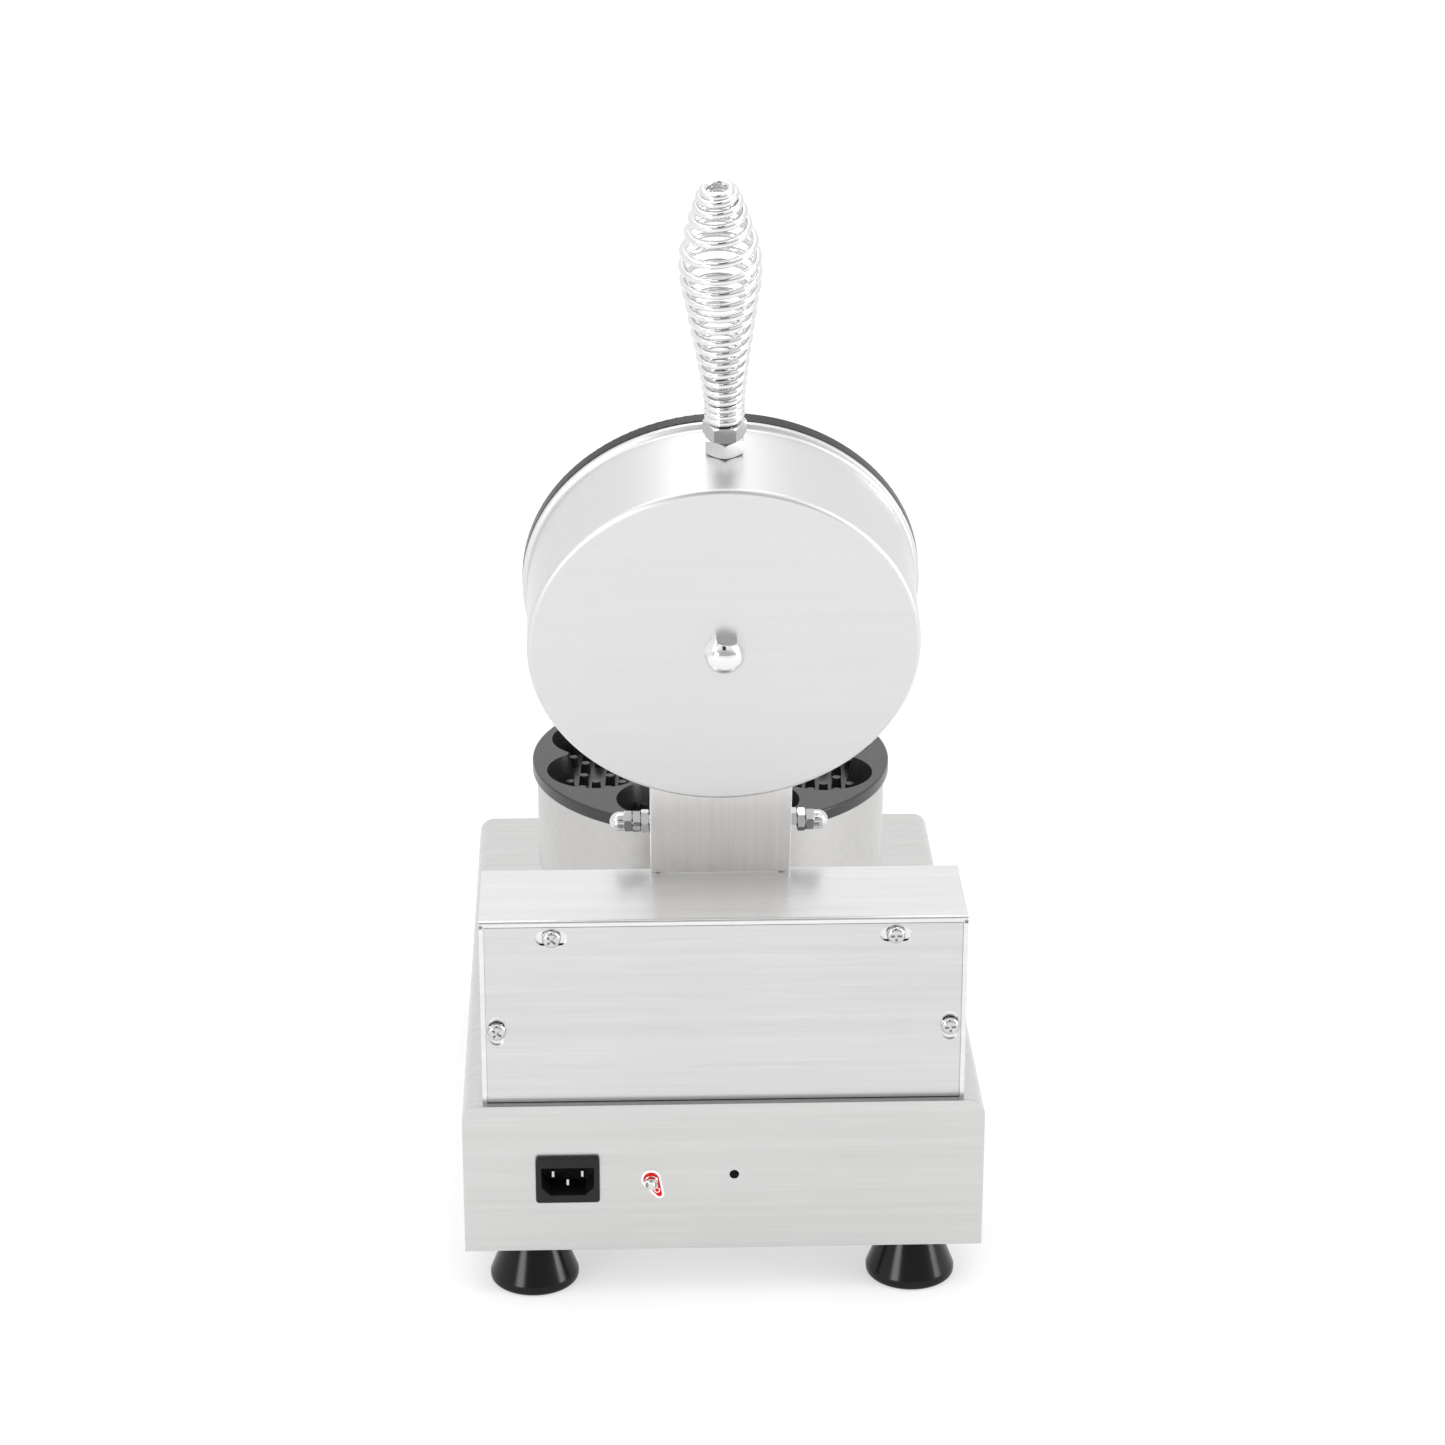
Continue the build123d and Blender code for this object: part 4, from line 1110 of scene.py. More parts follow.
@dataclass
class Studio:
    """Pale floor, soft lights and the camera."""

    camera_at: tuple[float, float, float] = (54.9, 1796.5, 955.1)
    camera_look: tuple[float, float, float] = (-0.0306, -0.9277, -0.3720)
    camera_roll: float = 0.06
    lens: float = 96.0
    floor_half: float = 7000.0
    floor_thick: float = 4.0
    target: tuple[float, float, float] = (0.0, 0.0, 0.2)
    strength: float = 1.08
    band_shade: float = -0.50
    band_tilt: float = -0.8
    band_fade: tuple[float, float] = (0.1, 0.75)
    slot_shade: float = -0.96
    slot_shift: float = -0.03
    slot_sides: tuple[float, float] = (0.13, 0.20)
    slot_depth: tuple[float, float] = (0.30, 0.42)
    slot_height: tuple[float, float] = (0.44, 0.52)
    lights: tuple[SoftLight, ...] = (
        SoftLight("top_softbox", (0.2, -0.2, 2.6), 2.6, 20.0),
        SoftLight("left_softbox", (1.9, 1.1, 1.5), 1.3, 3.5),
        SoftLight("right_softbox", (-1.9, 0.7, 1.3), 1.3, 6.0),
        SoftLight("left_strip", (1.15, 1.5, 0.35), 0.60, 10.0),
        SoftLight("right_strip", (-1.6, 0.60, 0.35), 0.50, 8.0),
    )

    def camera(self) -> None:
        """Stand the camera behind the appliance, a little above it."""
        data = bpy.data.cameras.new("camera")
        data.lens = self.lens
        data.sensor_width = 36.0
        data.clip_end = 50.0
        stand = bpy.data.objects.new("camera", data)
        look = Vector(self.camera_look)
        turn = look.to_track_quat("-Z", "Y").to_matrix().to_4x4()
        roll = Matrix.Rotation(math.radians(self.camera_roll), 4, "Z")
        stand.matrix_world = Matrix.Translation(Vector(self.camera_at) * MM) @ turn @ roll
        bpy.context.scene.collection.objects.link(stand)
        bpy.context.scene.camera = stand

    def floor(self) -> None:
        """Lay a plain pale floor."""
        under = Matrix.Translation((0, 0, -self.floor_thick))
        square = oblong(self.floor_half, self.floor_half)
        floor = Shape().slab(square, self.floor_thick, under).loose("floor")
        floor.data.materials.append(Finishes.FLOOR.material())

    def room(self) -> None:
        """A white room, greyer low behind the camera, with a dark slot above it."""
        world = bpy.data.worlds.new("studio")
        world.use_nodes = True
        tree = world.node_tree
        back = tree.nodes["Background"]
        coords = tree.nodes.new("ShaderNodeTexCoord")
        split = tree.nodes.new("ShaderNodeSeparateXYZ")
        tree.links.new(coords.outputs["Generated"], split.inputs[0])

        def reckon(kind: str, *terms: object) -> bpy.types.NodeSocket:
            """One step of arithmetic on sockets or numbers."""
            node = tree.nodes.new("ShaderNodeMath")
            node.operation = kind
            for place, term in enumerate(terms):
                if isinstance(term, bpy.types.NodeSocket):
                    tree.links.new(term, node.inputs[place])
                else:
                    node.inputs[place].default_value = term
            return node.outputs[0]

        def fade(value: bpy.types.NodeSocket, start: float, end: float) -> bpy.types.NodeSocket:
            """Rise softly from 0 at start to 1 at end."""
            node = tree.nodes.new("ShaderNodeMapRange")
            node.interpolation_type = "SMOOTHSTEP"
            node.inputs["From Min"].default_value = start
            node.inputs["From Max"].default_value = end
            tree.links.new(value, node.inputs["Value"])
            return node.outputs["Result"]

        across, depth, height = split.outputs
        low = fade(reckon("MULTIPLY_ADD", height, self.band_tilt, depth), *self.band_fade)
        aside = reckon("ABSOLUTE", reckon("ADD", across, self.slot_shift))
        slot = reckon("SUBTRACT", 1.0, fade(aside, *self.slot_sides))
        slot = reckon("MULTIPLY", slot, fade(depth, *self.slot_depth))
        slot = reckon("MULTIPLY", slot, fade(height, *self.slot_height))
        shade = reckon("MULTIPLY_ADD", low, self.band_shade, 1.0)
        shade = reckon("MULTIPLY", shade, reckon("MULTIPLY_ADD", slot, self.slot_shade, 1.0))
        tree.links.new(shade, back.inputs["Color"])
        back.inputs["Strength"].default_value = self.strength
        bpy.context.scene.world = world

    def build(self) -> None:
        """Set up everything round the appliance."""
        self.camera()
        self.floor()
        self.room()
        for light in self.lights:
            light.hang(Vector(self.target))
        bpy.context.scene.view_settings.view_transform = "Standard"
        LOG.info("studio ready")


@dataclass
class BaseCabinet:
    """Sheet cabinet, its bottom plate and its four feet."""

    edge: float = 0.3
    foot_top: float = 14.2
    foot_wide: float = 21.6
    foot_toe: float = 2.2
    foot_socket: float = 7.0
    foot_web: float = 12.0
    foot_bore: float = 3.2

    def panels(self) -> None:
        """Shell and end panels with broken edges."""
        for node in ("base_shell", "rear_panel", "front_panel"):
            Shape.copy_of(node, self.edge).piece(
                node + "_sheet", "base", Finishes.PANEL, "panel_steel", node
            )
        dress(Finishes.HIDDEN, "bottom_plate")

    def feet(self) -> None:
        """Flared glossy feet."""
        for node in ("foot_front_left", "foot_front_right", "foot_rear_left", "foot_rear_right"):
            low, high = corners(node)
            centre, tall = (low + high) / 2, high.z - low.z
            taper, toe = self.foot_wide - self.foot_top, self.foot_toe
            flare = [
                (self.foot_wide - taper * share, 4.0 + (tall - 6.0) * share)
                for share in (step / 14 for step in range(15))
            ]
            profile = [(self.foot_socket, 0.0), (self.foot_wide - toe, 0.0)]
            profile += arc((self.foot_wide - toe, toe), toe, -90, 0, 7)[1:] + flare
            profile += [(self.foot_top - 0.6, tall - 0.8), (self.foot_top - 1.4, tall)]
            profile += [(self.foot_bore, tall), (self.foot_bore, self.foot_web)]
            profile += [(self.foot_socket, self.foot_web)]
            place = Matrix.Translation((centre.x, centre.y, low.z))
            Shape().lathe(profile, place, 96).piece(
                node + "_rubber", "base", Finishes.RUBBER, "foot_rubber", node
            )
        dress(Finishes.NUT, "foot_bolts")

    def screws(self) -> None:
        """Four screws under the lips."""
        low, high = corners("bottom_screws")
        head, height = 3.5, 2.0
        points = [
            Vector((x, y, low.z + height))
            for x in (low.x + head, high.x - head) for y in (low.y + head, high.y - head)
        ]
        ScrewPattern(head, height).set_at(
            "bottom_screw_set", points, Vector((0, 0, -1)), "base", "bright_hardware",
            "bottom_screws",
        )

    def build(self) -> None:
        """Build and dress the cabinet."""
        self.panels()
        self.feet()
        self.screws()


@dataclass
class WiringBox:
    """Box behind the hinge with its screwed cover."""

    edge: float = 0.35
    screw_head: float = 4.4
    screw_height: float = 2.6
    top_screw: tuple[float, float] = (31.5, 5.6)
    side_screw: tuple[float, float] = (5.0, 53.6)
    notch: float = 1.9
    notch_cut: float = 4.0
    cover_edge: float = 0.2
    cover_drop: float = 0.45

    def shell(self) -> None:
        """Folded shell with the mitre notches at its rear top corners."""
        low, high = corners("hinge_box_shell")
        shape = Shape.copy_of("hinge_box_shell", 0.0)
        for side in (low.x, high.x):
            inward = 1 if side < 0 else -1
            place = facing(Vector((side, high.y - 2.0, high.z - 3.1)), (0, 1, 0), (0, 0, 1))
            deep = inward * self.notch
            wedge = ((-0.7, 0.2), (self.notch, -0.2), (0.9, deep), (-0.7, deep))
            ordered = wedge if inward > 0 else wedge[::-1]
            shape = shape.cut(Shape().slab(ordered, self.notch_cut, place))
        shape.break_edges(self.edge).piece(
            "hinge_box_sheet", "base", Finishes.BOX, "panel_steel", "hinge_box_shell"
        )

    def cover(self) -> None:
        """Slotted cover, drawn down to the base so that only a hairline shows under it."""
        shape = Shape.copy_of("hinge_box_cover", self.cover_edge)
        foot = corners("hinge_box_cover")[0].z
        for vert in shape.mesh.verts:
            if vert.co.z < foot + 0.5:
                vert.co.z -= self.cover_drop
        shape.piece(
            "hinge_box_cover_sheet", "base", Finishes.COVER, "panel_steel", "hinge_box_cover"
        )

    def screws(self) -> None:
        """The cover's four screws, each turned its own way."""
        low, high = corners("hinge_box_cover")
        points = []
        for inset, drop in (self.top_screw, self.side_screw):
            for x in (low.x + inset, high.x - inset):
                points.append(Vector((x, high.y, high.z - drop)))
        ScrewPattern(self.screw_head, self.screw_height).set_at(
            "cover_screw_set", points, Vector((0, 1, 0)), "base", "bright_hardware", "cover_screws"
        )

    def build(self) -> None:
        """Build and dress the box."""
        self.shell()
        self.cover()
        self.screws()


@dataclass
class RearTerminals:
    """Power inlet and earth terminal on the rear panel."""

    tag_border: float = 1.05
    big: float = 4.8
    small: float = 2.3
    drift: tuple[float, float] = (4.0, -8.0)
    mark_at: float = 0.72
    mark_ring: tuple[float, float] = (1.0, 1.4)
    ink: float = 0.03
    pin_size: tuple[float, float] = (1.5, 0.55)
    nut_across: float = 5.8
    stud: float = 2.0
    thread_root: float = 1.72
    thread_from: float = 0.55
    thread_share: float = 0.41
    thread_turns: int = 9
    washer: float = 3.3

    def inlet(self) -> None:
        """Moulded inlet and its pins."""
        Shape.copy_of("power_inlet", 0.25).piece(
            "power_inlet_moulding", "base", Finishes.PLASTIC, "black_plastic", "power_inlet"
        )
        low, high = corners("inlet_pins")
        pins = Shape()
        upper, lower = high.z - 2.0, low.z + 2.0
        centre = middle("inlet_pins").x
        for x, z in ((low.x + 1.0, upper), (high.x - 1.0, upper), (centre, lower)):
            place = facing(Vector((x, low.y, z)), (0, 1, 0))
            pins.slab(oblong(*self.pin_size), high.y - low.y, place)
        pins.break_edges(0.3).piece(
            "inlet_pin_blades", "base", Finishes.PIN, "pin_metal", "inlet_pins"
        )

    def drop_outline(self, inset: float) -> list[tuple[float, float]]:
        """Teardrop outline round two circles.

        Args:
            inset: How far the outline is drawn in.

        Returns:
            Its points, anticlockwise.
        """
        big, small = self.big - inset, self.small - inset
        along = math.atan2(self.drift[1], self.drift[0])
        reach = math.hypot(*self.drift)
        wrap = math.acos((big - small) / reach)
        start, end = math.degrees(along + wrap), math.degrees(along - wrap)
        return arc((0, 0), big, start, end + 360, 40) + arc(self.drift, small, end, start, 16)

    def tag(self) -> None:
        """White-edged red teardrop tag under the earth nut."""
        low, high = corners("earth_tag")
        ring = Vector((middle("earth_stud").x, low.y, middle("earth_stud").z + 1.0))
        place = facing(ring, (0, 1, 0), (-1, 0, 0))
        thick = high.y - low.y
        Shape().slab(self.drop_outline(0.0), thick * 0.7, place).piece(
            "earth_tag_border", "base", Finishes.WHITE, "earth_label"
        )
        raised = place @ Matrix.Translation((0, 0, thick * 0.7))
        Shape().slab(self.drop_outline(self.tag_border), thick * 0.3, raised).piece(
            "earth_tag_face", "base", Finishes.RED, "earth_label", "earth_tag"
        )
        x, y = (far * self.mark_at for far in self.drift)
        mark = place @ Matrix.Translation((x, y, thick))
        inner, outer = self.mark_ring
        band = ((inner, 0.0), (outer, 0.0), (outer, self.ink), (inner, self.ink))
        Shape().lathe(band, mark, 32).piece(
            "earth_tag_mark", "base", Finishes.WHITE, "earth_label"
        )

    def hardware(self) -> None:
        """Stud, washer and nut."""
        low, high = corners("earth_nut")
        centre = Vector((middle("earth_nut").x, low.y, middle("earth_nut").z))
        place = facing(centre, (0, 1, 0), (0.3, 0, 1))
        Shape().nut(self.nut_across, high.y - low.y, self.stud + 0.05, place).piece(
            "earth_nut_turned", "base", Finishes.NUT, "bright_hardware", "earth_nut"
        )
        low, high = corners("earth_stud")
        long, stud = high.y - low.y, self.stud
        profile = [(0.0, 0.0), (stud - 0.3, 0.0), (stud, 0.4), (stud, long * self.thread_from)]
        pitch = long * self.thread_share / self.thread_turns
        for step in range(self.thread_turns):
            base = long * self.thread_from + pitch * step
            profile += [
                (stud, base + pitch * 0.25), (self.thread_root, base + pitch * 0.6),
                (stud, base + pitch),
            ]
        profile += [(stud - 0.4, long), (0.0, long)]
        centre = Vector((middle("earth_stud").x, low.y, middle("earth_stud").z))
        Shape().lathe(profile, facing(centre, (0, 1, 0)), 32).piece(
            "earth_stud_threaded", "base", Finishes.NUT, "bright_hardware", "earth_stud"
        )
        low, high = corners("earth_washer")
        thick = high.y - low.y
        centre.y = low.y
        bore, shoulder, round_off = self.stud + 0.1, self.washer - 0.15, 0.15
        profile = [(bore, 0.0), (shoulder, 0.0), (self.washer, round_off)]
        profile += [(self.washer, thick - round_off), (shoulder, thick), (bore, thick)]
        Shape().lathe(profile, facing(centre, (0, 1, 0)), 48).piece(
            "earth_washer_turned", "base", Finishes.NUT, "bright_hardware", "earth_washer"
        )

    def build(self) -> None:
        """Build and dress the terminals."""
        self.inlet()
        self.tag()
        self.hardware()


@dataclass
class FrontControls:
    """Two dials with printed scales, a rocker switch and two lamps."""

    scale_radius: float = 23.5
    tick_long: float = 4.2
    tick_wide: float = 0.8
    tick_count: int = 13
    sweep: float = 270.0
    pointer_half: float = 0.7
    pointer_from: float = 3.0
    pointer_to: float = 15.0
    lens: float = 4.1
    bezel: float = 5.6

    def scale(self, name: str, dial: str) -> None:
        """Print a ring of ticks on the panel round a dial.

        Args:
            name: The piece's name.
            dial: The dial's CAD node.
        """
        growth = Growth(name)
        count = growth.entry("Ticks", "Int", self.tick_count)
        radius = growth.entry("Radius", "Float", self.scale_radius * MM)
        size = growth.entry(
            "Tick size", "Vector", (self.tick_long * MM, self.tick_wide * MM, 0.08 * MM)
        )
        sweep = growth.entry("Sweep", "Float", math.radians(self.sweep))
        line = growth.node("GeometryNodeMeshLine", {"Count": count, "Offset": (0.0, 0.0, 0.0)})
        number = growth.node("GeometryNodeInputIndex", {}).outputs[0]
        last = growth.sum("SUBTRACT", count, 1.0)
        share = growth.sum("SUBTRACT", growth.sum("DIVIDE", number, last), 0.5)
        angle = growth.sum("ADD", growth.sum("MULTIPLY", share, sweep), math.pi / 2)
        spot = growth.vector(
            growth.sum("MULTIPLY", radius, growth.sum("COSINE", angle)),
            growth.sum("MULTIPLY", radius, growth.sum("SINE", angle)), 0.0,
        )
        moved = growth.node(
            "GeometryNodeSetPosition", {"Geometry": line.outputs[0], "Position": spot}
        )
        tick = growth.node("GeometryNodeMeshCube", {"Size": size})
        rows = growth.node("GeometryNodeInstanceOnPoints", {
            "Points": moved.outputs[0], "Instance": tick.outputs[0],
            "Rotation": growth.vector(0.0, 0.0, angle),
        })
        grown = growth.grow(Finishes.INK, rows.outputs[0])
        face = corners("front_panel")[0].y
        centre = middle(dial)
        place = facing(Vector((centre.x, face - 0.04, centre.z)), (0, -1, 0), (1, 0, 0))
        metres = Matrix.Translation(place.translation * MM) @ place.to_3x3().to_4x4()
        grown.data.transform(metres)
        enrol(grown, "base", "black_plastic")

    def dials(self) -> None:
        """Dials with a knurled skirt and a white pointer line."""
        for node, body in (("thermostat_dial", "thermostat_knob"), ("timer_dial", "timer_knob")):
            Shape.copy_of(node, 0.5).piece(
                node + "_knob", body, Finishes.KNOB, "black_plastic", node
            )
            low, high = corners(node)
            place = facing(
                Vector(((low.x + high.x) / 2, low.y + 0.25, (low.z + high.z) / 2)),
                (0, -1, 0), (1, 0, 0),
            )
            half, start, end = self.pointer_half, self.pointer_from, self.pointer_to
            line = ((-half, start), (half, start), (half, end), (-half, end))
            Shape().slab(line, 0.2, place).piece(
                node + "_pointer", body, Finishes.WHITE, "black_plastic"
            )

    def switches(self) -> None:
        """Rocker, its housing and the lamps."""
        Shape.copy_of("switch_housing", 0.3).piece(
            "switch_frame", "base", Finishes.PLASTIC, "black_plastic", "switch_housing"
        )
        Shape.copy_of("power_rocker", 0.4).piece(
            "power_rocker_cap", "rocker", Finishes.KNOB, "black_plastic", "power_rocker"
        )
        for node, finish, slot in (
            ("power_lamp", Finishes.GREEN_LENS, "green_lens"),
            ("heat_lamp", Finishes.RED_LENS, "red_lens"),
        ):
            low, high = corners(node)
            face = corners("front_panel")[0].y
            proud = face - low.y
            centre = Vector(((low.x + high.x) / 2, face, (low.z + high.z) / 2))
            place = facing(centre, (0, -1, 0))
            dome = [
                (self.lens * math.cos(angle), proud * (0.45 + 0.55 * math.sin(angle)))
                for angle in (math.pi / 2 * step / 10 for step in range(10))
            ]
            stem, back = self.lens - 0.1, face - high.y
            profile = [(0.0, back), (stem, back), (stem, proud * 0.3)]
            Shape().lathe(profile + dome + [(0.0, proud)], place, 48).piece(
                node + "_lens", "base", finish, slot, node
            )
            inner, outer = self.lens + 0.05, self.bezel
            bezel = [(inner, 0.0), (outer, 0.0), (outer, 0.6)]
            bezel += [(outer - 0.4, 1.3), (outer - 1.0, 1.5), (inner, 1.1)]
            Shape().lathe(bezel, place, 64).piece(
                node + "_bezel", "base", Finishes.NUT, "bright_hardware"
            )

    def build(self) -> None:
        """Build and dress the controls."""
        self.scale("thermostat_scale", "thermostat_dial")
        self.scale("timer_scale", "timer_dial")
        self.dials()
        self.switches()


@dataclass
class PanProfile:
    """Outline of a deep-drawn round pan."""

    radius: float = 90.0
    depth: float = 51.0
    sheet: float = 1.2
    edge: float = 2.5
    bore: float = 5.2

    def walls(self, lip: float = 0.0, lip_height: float = 0.0) -> list[tuple[float, float]]:
        """Closed section of the pan, its floor at height 0 and its rim at its depth.

        Args:
            lip: Radius of a rolled lip at the rim, 0 for none.
            lip_height: How far the lip reaches down the wall.

        Returns:
            (radius, height) points round the section.
        """
        flat = self.radius - self.edge
        outer = [(self.bore, 0.0), (flat - 1.1, 0.0), (flat - 0.7, 0.0)]
        outer += arc((flat, self.edge), self.edge, -90, 0, 12)
        if lip:
            root = self.depth - lip_height
            reach = lip - self.radius
            outer += arc((lip, root - reach), reach, 180, 90, 6)[:-1]
            outer += arc((lip - 0.6, root + 0.6), 0.6, -90, 0, 5)
            outer += arc((lip - 0.6, self.depth - 0.6), 0.6, 0, 90, 5)
        else:
            outer += [(self.radius, self.depth - 0.3), (self.radius - 0.3, self.depth)]
        inner = [(self.radius - self.sheet, self.depth)]
        bend = self.edge - self.sheet
        inner += arc((flat, self.edge), bend, 0, -90, 8)
        return outer + inner + [(self.bore, self.sheet)]


@dataclass
class LowerPan:
    """Pedestal, lower pan and lower mould plate."""

    pan: PanProfile

    def build(self) -> None:
        """Build and dress the lower half of the mould."""
        low, _ = corners("lower_pan")
        centre = middle("lower_pan")
        place = Matrix.Translation((centre.x, centre.y, low.z))
        Shape().lathe(self.pan.walls(), place, 192).piece(
            "lower_pan_drawn", "base", Finishes.LOWER_PAN, "pan_steel", "lower_pan"
        )
        Shape.copy_of("pan_pedestal", 0.3).piece(
            "pan_pedestal_sheet", "base", Finishes.PAN, "pan_steel", "pan_pedestal"
        )
        Shape.copy_of("lower_mould_plate", 0.35).piece(
            "lower_mould_plate_cast", "base", Finishes.PLATE, "nonstick_plate", "lower_mould_plate"
        )


@dataclass
class FixedHinge:
    """Bracket on the box's front, hinge bolt, nuts and cap nuts."""

    across: float = 10.0
    nut_height: float = 4.1
    dome: float = 6.8
    bolt: float = 3.0
    lean: float = 0.22

    def nuts(self) -> None:
        """Two nuts and a cap nut on each side."""
        _, high = corners("hinge_nuts")
        line = middle("hinge_bolt")
        nuts, caps = Shape(), Shape()
        for side, start in ((-1, -high.x), (1, high.x)):
            outer = abs(start)
            for place in (1, 2):
                at = Vector((side * (outer - place * self.nut_height), line.y, line.z))
                turned = facing(at, (side, 0, 0), (0, self.lean * place * side, 1))
                nuts.nut(self.across, self.nut_height - 0.05, self.bolt, turned)
            at = Vector((side * outer, line.y, line.z))
            caps.cap_nut(
                self.across, self.nut_height, self.dome, facing(at, (side, 0, 0), (0, 0.12, 1))
            )
        nuts.piece("hinge_nuts_turned", "base", Finishes.NUT, "bright_hardware", "hinge_nuts")
        caps.piece(
            "hinge_cap_nuts_turned", "base", Finishes.NUT, "bright_hardware", "hinge_cap_nuts"
        )

    def build(self) -> None:
        """Build and dress the fixed hinge."""
        self.nuts()
        Shape.copy_of("hinge_bracket", 0.3).piece(
            "hinge_bracket_sheet", "base", Finishes.BOX, "panel_steel", "hinge_bracket"
        )
        low, high = corners("bracket_screws")
        head, height = 3.8, 2.2
        points = [
            Vector((x, low.y + height, z))
            for x in (low.x + head, high.x - head) for z in (low.z + head, high.z - head)
        ]
        ScrewPattern(head, height).set_at(
            "bracket_screw_set", points, Vector((0, -1, 0)), "base", "bright_hardware",
            "bracket_screws",
        )
        dress(Finishes.NUT, "hinge_bolt", "hinge_spacer")


@dataclass
class LidFrame:
    """The shut lid's frame, swung open about the hinge."""

    reach: float = 135.0

    def __post_init__(self) -> None:
        """Find the hinge, the plate's axis and the swing."""
        self.hinge = middle("hinge_bolt")
        joint = next(one for one in frame["joints"] if one["child"] == "lid")
        self.open = math.radians(joint["range_deg"][1])
        self.plate_y = self.hinge.y - self.reach
        self.part_z = corners("lower_mould_plate")[1].z

    def swing(self, place: Matrix) -> Matrix:
        """Move a place from the shut lid to the open one."""
        there = Matrix.Translation(self.hinge)
        return there @ Matrix.Rotation(-self.open, 4, "X") @ there.inverted() @ place

@dataclass
class Lid:
    """Lid pan, its hinge web, the upper mould plate and the cap nut."""

    pan: PanProfile
    lid: LidFrame
    gap: float = 0.4
    rim: float = 6.5
    lip: float = 92.3
    lip_height: float = 2.4
    cap_across: float = 16.4
    cap_skirt: float = 2.2
    cap_tall: float = 10.8
    cap_turn: float = -6.8

    def build(self) -> None:
        """Build and dress the lid."""
        top = self.lid.part_z + self.gap + self.rim + self.pan.depth
        down = Matrix.Translation((0, self.lid.plate_y, top)) @ Matrix.Rotation(math.pi, 4, "X")
        walls = self.pan.walls(self.lip, self.lip_height)
        Shape().lathe(walls, self.lid.swing(down), 192).piece(
            "lid_pan_drawn", "lid", Finishes.PAN, "pan_steel", "lid_pan"
        )
        Shape.copy_of("lid_bracket", 0.3).piece(
            "lid_bracket_sheet", "lid", Finishes.WEB, "panel_steel", "lid_bracket"
        )
        Shape.copy_of("upper_mould_plate", 0.35).piece(
            "upper_mould_plate_cast", "lid", Finishes.PLATE, "nonstick_plate", "upper_mould_plate"
        )
        up = Matrix.Translation((0, self.lid.plate_y, top)) @ Matrix.Rotation(
            math.radians(self.cap_turn), 4, "Z"
        )
        Shape().domed_hexagon(
            self.cap_across, self.cap_skirt, self.cap_tall, self.lid.swing(up)
        ).piece("lid_cap_nut_turned", "lid", Finishes.CAP, "bright_hardware", "lid_cap_nut")


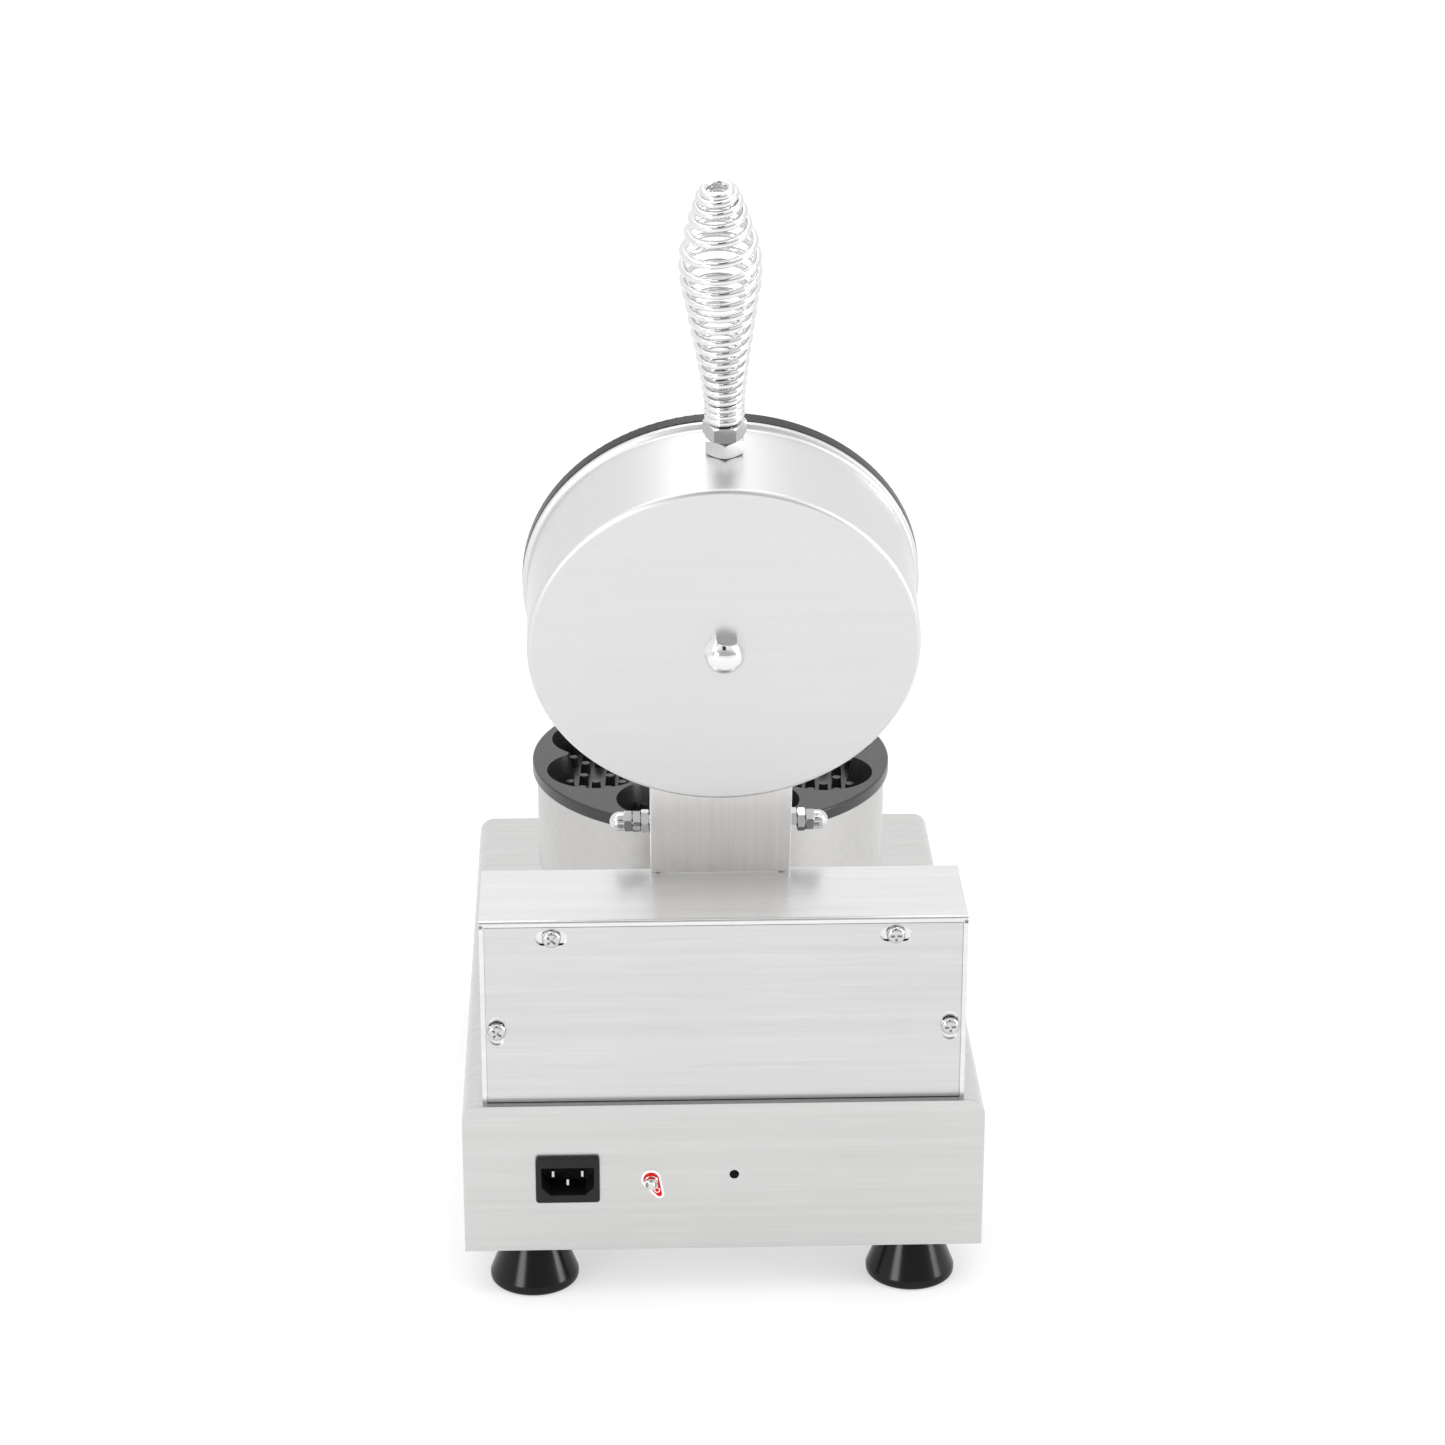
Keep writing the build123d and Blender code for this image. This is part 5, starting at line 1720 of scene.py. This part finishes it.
@dataclass
class Handle:
    """Spring-coil handle on its stud, held by two nuts."""

    lid: LidFrame
    pan: PanProfile
    rise: float = 4.0
    lean: float = 2.0
    lean_from: float = 18.0
    wire: float = 1.8
    turns: float = 20.6
    widest: float = 16.5
    length: float = 135.6
    nut_across: float = 17.0
    nut_height: float = 8.0
    nut_bore: float = 5.0
    inner_nut: tuple[float, float] = (-6.8, 5.0)
    steps_per_turn: int = 40
    stations: tuple[tuple[float, float, float], ...] = (
        (0, 18, 7.4), (3, 29, 7.8), (7, 50.5, 10.4), (11, 77, 14.2), (14, 97.5, 16.5),
        (15.1, 106, 15.8), (16, 114, 13.6), (18, 127, 9.9), (19.5, 133.4, 7.4),
        (20.6, 135.6, 5.4),
    )

    def root(self) -> Matrix:
        """Where the handle's axis leaves the shut lid's wall, swung open."""
        wall = self.lid.plate_y - self.pan.radius
        out = Matrix.Translation((0, wall, self.lid.hinge.z + self.rise))
        return self.lid.swing(out @ Matrix.Rotation(math.pi / 2, 4, "X"))

    def coil(self) -> None:
        """Wire wound to a swelling that closes at its tip."""
        growth = Growth("handle_coil_wire")
        turns = growth.entry("Turns", "Float", self.turns)
        per_turn = growth.entry("Steps per turn", "Int", self.steps_per_turn)
        wire = growth.entry("Wire radius", "Float", self.wire * MM)
        widest = growth.entry("Widest radius", "Float", self.widest * MM)
        length = growth.entry("Length", "Float", self.length * MM)
        steps = growth.sum("MULTIPLY", turns, per_turn)
        line = growth.node(
            "GeometryNodeMeshLine", {"Count": growth.sum("ADD", steps, 1.0), "Offset": (0, 0, 0)}
        )
        number = growth.node("GeometryNodeInputIndex", {}).outputs[0]
        share = growth.sum("DIVIDE", number, steps)
        radii = [(turn / self.turns, wide / self.widest) for turn, _, wide in self.stations]
        depths = [(turn / self.turns, far / self.length) for turn, far, _ in self.stations]
        girth, climb = growth.curve(share, radii), growth.curve(share, depths)
        angle = growth.sum("MULTIPLY", growth.sum("MULTIPLY", share, turns), math.tau)
        radius = growth.sum("MULTIPLY", girth, widest)
        spot = growth.vector(
            growth.sum("MULTIPLY", radius, growth.sum("COSINE", angle)),
            growth.sum("MULTIPLY", radius, growth.sum("SINE", angle)),
            growth.sum("MULTIPLY", climb, length),
        )
        moved = growth.node(
            "GeometryNodeSetPosition", {"Geometry": line.outputs[0], "Position": spot}
        )
        path = growth.node("GeometryNodeMeshToCurve", {"Mesh": moved.outputs[0]})
        ring = growth.node("GeometryNodeCurvePrimitiveCircle", {"Resolution": 14, "Radius": wire})
        tube = growth.node("GeometryNodeCurveToMesh", {
            "Curve": path.outputs[0], "Profile Curve": ring.outputs[0], "Fill Caps": True,
        })
        grown = growth.grow(Finishes.WIRE, tube.outputs[0])
        leaning = (
            Matrix.Translation((0, 0, self.lean_from))
            @ Matrix.Rotation(math.radians(self.lean), 4, "Y")
            @ Matrix.Translation((0, 0, -self.lean_from))
        )
        grown.data.transform(Matrix.Scale(1 / MM, 4))
        grown.data.transform(self.root() @ leaning)
        grown.data.transform(Matrix.Scale(MM, 4))
        enrol(smooth(grown, 60.0), "lid", "handle_wire", "handle_coil")

    def nuts(self) -> None:
        """Two nuts outside the wall and one inside it."""
        shape = Shape()
        tall = self.nut_height
        rows = ((*self.inner_nut, 0.0), (0.05, tall, 30.0), (tall + 0.1, tall, 0.0))
        for start, height, turn in rows:
            spin = Matrix.Rotation(math.radians(turn), 4, "Z")
            place = self.root() @ Matrix.Translation((0, 0, start)) @ spin
            shape.nut(self.nut_across, height, self.nut_bore, place)
        shape.piece("handle_nuts_turned", "lid", Finishes.NUT, "bright_hardware", "handle_nuts")

    def build(self) -> None:
        """Build and dress the handle."""
        self.coil()
        self.nuts()
        dress(Finishes.NUT, "handle_stud")


@dataclass
class Inside:
    """Parts that the sheet hides, which keep their meshes."""

    def build(self) -> None:
        """Dress the hidden parts."""
        dress(Finishes.CREAM, "terminal_block", "timer")
        dress(Finishes.PLASTIC, "thermostat")
        dress(Finishes.SHEATH, "lower_heating_element", "upper_heating_element")
        dress(Finishes.WOOL, "lower_insulation", "upper_insulation")
        dress(Finishes.PIN, "sensor_bulb")
        dress(Finishes.NUT, "lower_plate_bolt", "lower_plate_nut", "lid_bolt")


def main() -> None:
    """Build the studio and the appliance, one sub-assembly after the other."""
    logging.basicConfig(level=logging.INFO, format="%(message)s")
    Studio().build()
    pan = PanProfile()
    lid = LidFrame()
    assemblies = (
        BaseCabinet(), WiringBox(), RearTerminals(), FrontControls(), LowerPan(pan),
        FixedHinge(), Lid(pan, lid), Handle(lid, pan), Inside(),
    )
    for assembly in assemblies:
        LOG.info("building %s", type(assembly).__name__)
        assembly.build()


if __name__ == "__main__":
    main()
